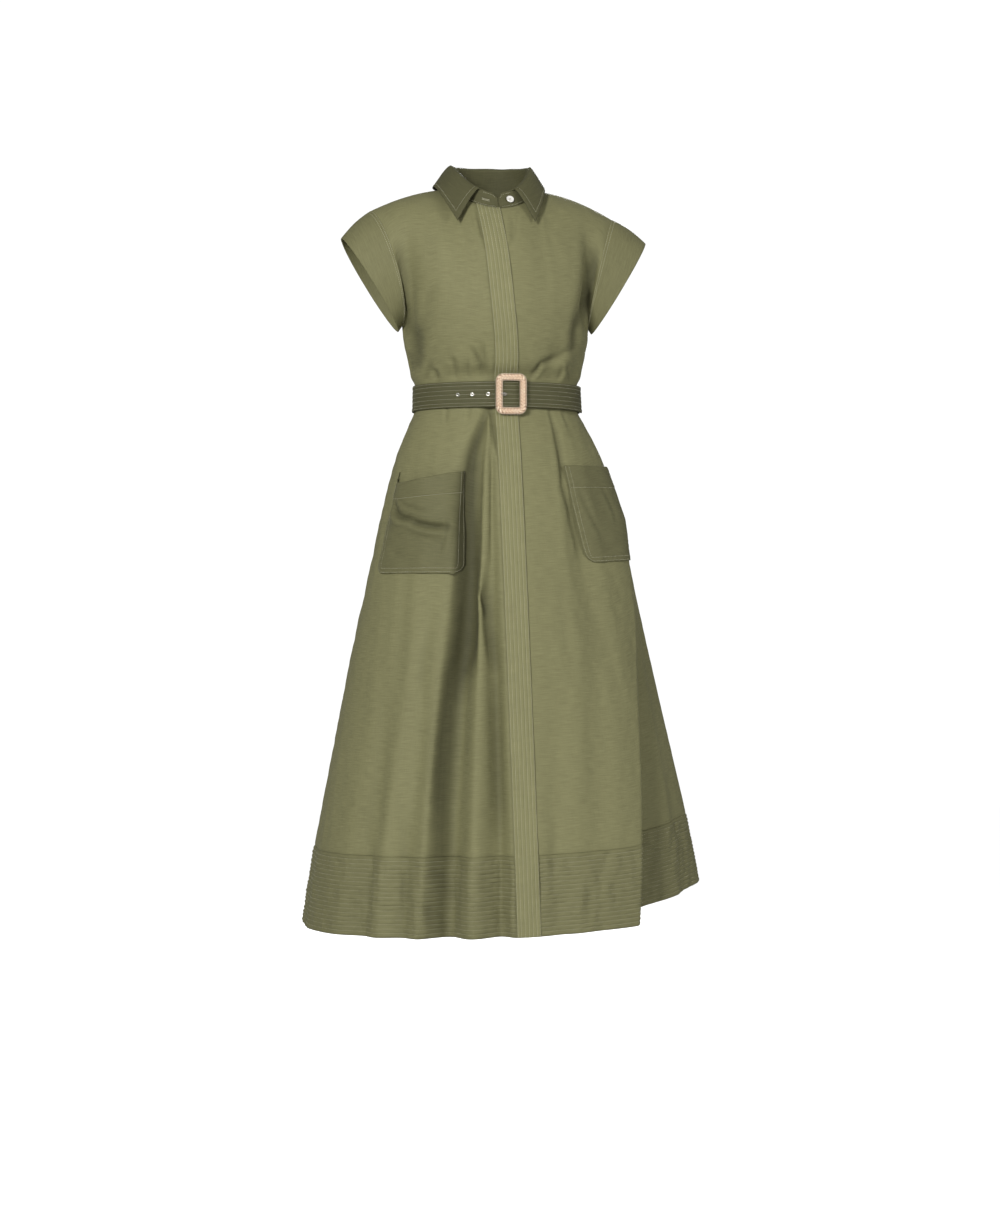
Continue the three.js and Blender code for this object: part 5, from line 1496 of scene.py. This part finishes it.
# %% Stitches
for name in panel_ends:
    runs = [seam_run(f"band_{name}_cloth", (0.004, 0.996), (z, z), 900)
            for z in np.linspace(HEM_Z, BAND_TOP, BAND_CHANNELS + 1)[1:-1]]
    sew(f"stitches_band_{name}", runs, thread, pitch=3.4)
channel_lines = [-0.94, *np.linspace(-1, 1, PLACKET_CHANNELS + 1)[1:-1], 0.94]
placket_runs = [on_cloth("placket_cloth", np.full(placket_way.shape, across), placket_way)
                for across in channel_lines]
sew("stitches_placket", placket_runs, thread, pitch=3.2, size=(2.3, 0.8, 0.6))

# %% Stitches of the belt, pockets and cuffs
belt_lines = [0.045, *np.linspace(0, 1, BELT_CHANNELS + 1)[1:-1], 0.955]
eyelet_clear = math.degrees(3.6 / belt_radius)
belt_ends = (BELT_START + 1, BELT_END - 9)
round_eyelets = [360 + turn + side * eyelet_clear for turn in eyelet_turns for side in (-1, 1)]
belt_breaks = [belt_ends[0], *round_eyelets, belt_ends[1]]
belt_runs = []
for up in belt_lines:
    breaks = belt_breaks if abs(up - 0.5) < 0.05 else belt_ends
    belt_runs += [seam_run("belt_cloth", ends, (up, up), 900) for ends in zip(breaks[::2], breaks[1::2])]
sew("stitches_belt", belt_runs, thread, pitch=3.0)
pocket_runs = []
for name, row in zip(("right", "left"), zip(*pockets.values())):
    span, wide = row[0] - row[1], pocket_width[name]
    for inset in POCKET["seams"]:
        a, b = inset / wide, inset / span
        for u, v in (((a, a), (0.99, b)), ((a, 1 - a), (b, b)), ((1 - a, 1 - a), (b, 0.99))):
            pocket_runs.append(seam_run(f"pocket_{name}_cloth", u, v))
    hem_line = 1 - POCKET["hem"] / span
    pocket_runs.append(seam_run(f"pocket_{name}_cloth", (0.02, 0.98), (hem_line, hem_line)))
sew("stitches_pockets", pocket_runs, thread, pitch=3.0)
cuff_runs = [seam_run(f"cuff_{name}", (0, 360), (share, share), 500) for name in ("right", "left")
             for share in (0.03, 0.105)]
sew("stitches_cuffs", cuff_runs, thread, pitch=3.0)

# %% Stitches of the collar and button
edge_q, edge_share = COLLAR_SEAM / COLLAR_LENGTH, 1 - COLLAR_SEAM / COLLAR_DEPTH
collar_runs = [seam_run("collar_cloth", (edge_q, edge_q), (0.06, edge_share)),
               seam_run("collar_cloth", (edge_q, 1 - edge_q), (edge_share, edge_share), 900),
               seam_run("collar_cloth", (1 - edge_q, 1 - edge_q), (edge_share, 0.06))]
sew("stitches_collar", collar_runs, thread, pitch=2.6)
hole_turns = np.array([12.0, 22.5])
buttonhole = [seam_run("stand_cloth", hole_turns[::step], (share, share), 60)
              for step, share in ((1, 0.385), (-1, 0.455))]
sew("stitches_buttonhole", buttonhole, thread, pitch=0.9, size=(0.8, 1.6, 0.7), lift=DOUBLE_CLOTH / 2 + 0.1)
stand_rows = [seam_run("stand_cloth", (a, b), (share, share), 500)
              for a, b, share in ((stand_start + 3, 357 - stand_start, 0.1), (stand_start + 3, 21, 0.86),
                                  (339, 357 - stand_start, 0.86))]
sew("stitches_stand", stand_rows, thread, pitch=2.6, lift=DOUBLE_CLOTH / 2 + 0.05)
thread_rows = [np.array([button_at + (side_a * a + side_b * b) * 1.15 + button_out * 1.75 for a, b in pair])
               for pair in (((1, 1), (-1, -1)), ((1, -1), (-1, 1)))]
sew("button_thread", [(row, np.tile(button_out, (2, 1))) for row in thread_rows], thread, pitch=1.1,
    size=(1.4, 0.45, 0.45), lift=0)

# %% [markdown]
# The floor and the surround look white to the camera and give the cloth only a little light. Two broad
# lamps in front shape the folds softly, and one behind lights the far side of the dress.

# %% Stage and light
FLOOR_Z = -1.53
FLOOR_GLOW, SURROUND, AMBIENT = 0.9, 1.05, 0.22
bm = bmesh.new()
bmesh.ops.create_grid(bm, x_segments=1, y_segments=1, size=9)
bmesh.ops.translate(bm, verts=bm.verts, vec=(0, 0, FLOOR_Z))
floor = new_object("floor", bm)
floor_paint, nodes, shader = principled("pale_floor", 0.9)
shader.inputs["Base Color"].default_value = (0.5, 0.5, 0.5, 1)
shader.inputs["Emission Color"].default_value = (1, 1, 1, 1)
shader.inputs["Specular IOR Level"].default_value = 0.0
seen = nodes.new("ShaderNodeLightPath").outputs["Is Camera Ray"]
link(nodes, math_node(nodes, "MULTIPLY", seen, FLOOR_GLOW), shader.inputs["Emission Strength"])
floor.data.materials.append(floor_paint)

world = bpy.data.worlds.new("white_surround")
world.use_nodes = True
nodes = world.node_tree.nodes
seen = nodes.new("ShaderNodeLightPath").outputs["Is Camera Ray"]
surround = math_node(nodes, "MULTIPLY_ADD", seen, SURROUND - AMBIENT, AMBIENT)
link(nodes, surround, nodes["Background"].inputs["Strength"])
nodes["Background"].inputs["Color"].default_value = (1, 1, 1, 1)
bpy.context.scene.world = world
bpy.context.scene.view_settings.view_transform = "Standard"


def area_light(name, place, target, size, power):
    lamp = bpy.data.lights.new(name, "AREA")
    lamp.shape = "RECTANGLE"
    lamp.size, lamp.size_y = size
    lamp.energy = power
    holder = bpy.data.objects.new(name, lamp)
    holder.location = place
    holder.rotation_euler = (Vector(target) - Vector(place)).to_track_quat("-Z", "Y").to_euler()
    bpy.context.collection.objects.link(holder)


area_light("key", (-2.1, -3.8, 0.9), (0, 0, -0.55), (0.8, 1.1), 196)
area_light("fill", (2.6, -2.8, 0.4), (0, 0, -0.6), (1.0, 2.0), 58)
area_light("rear", (0.9, 4.2, 0.8), (0, 0, -0.55), (1.2, 1.6), 130)
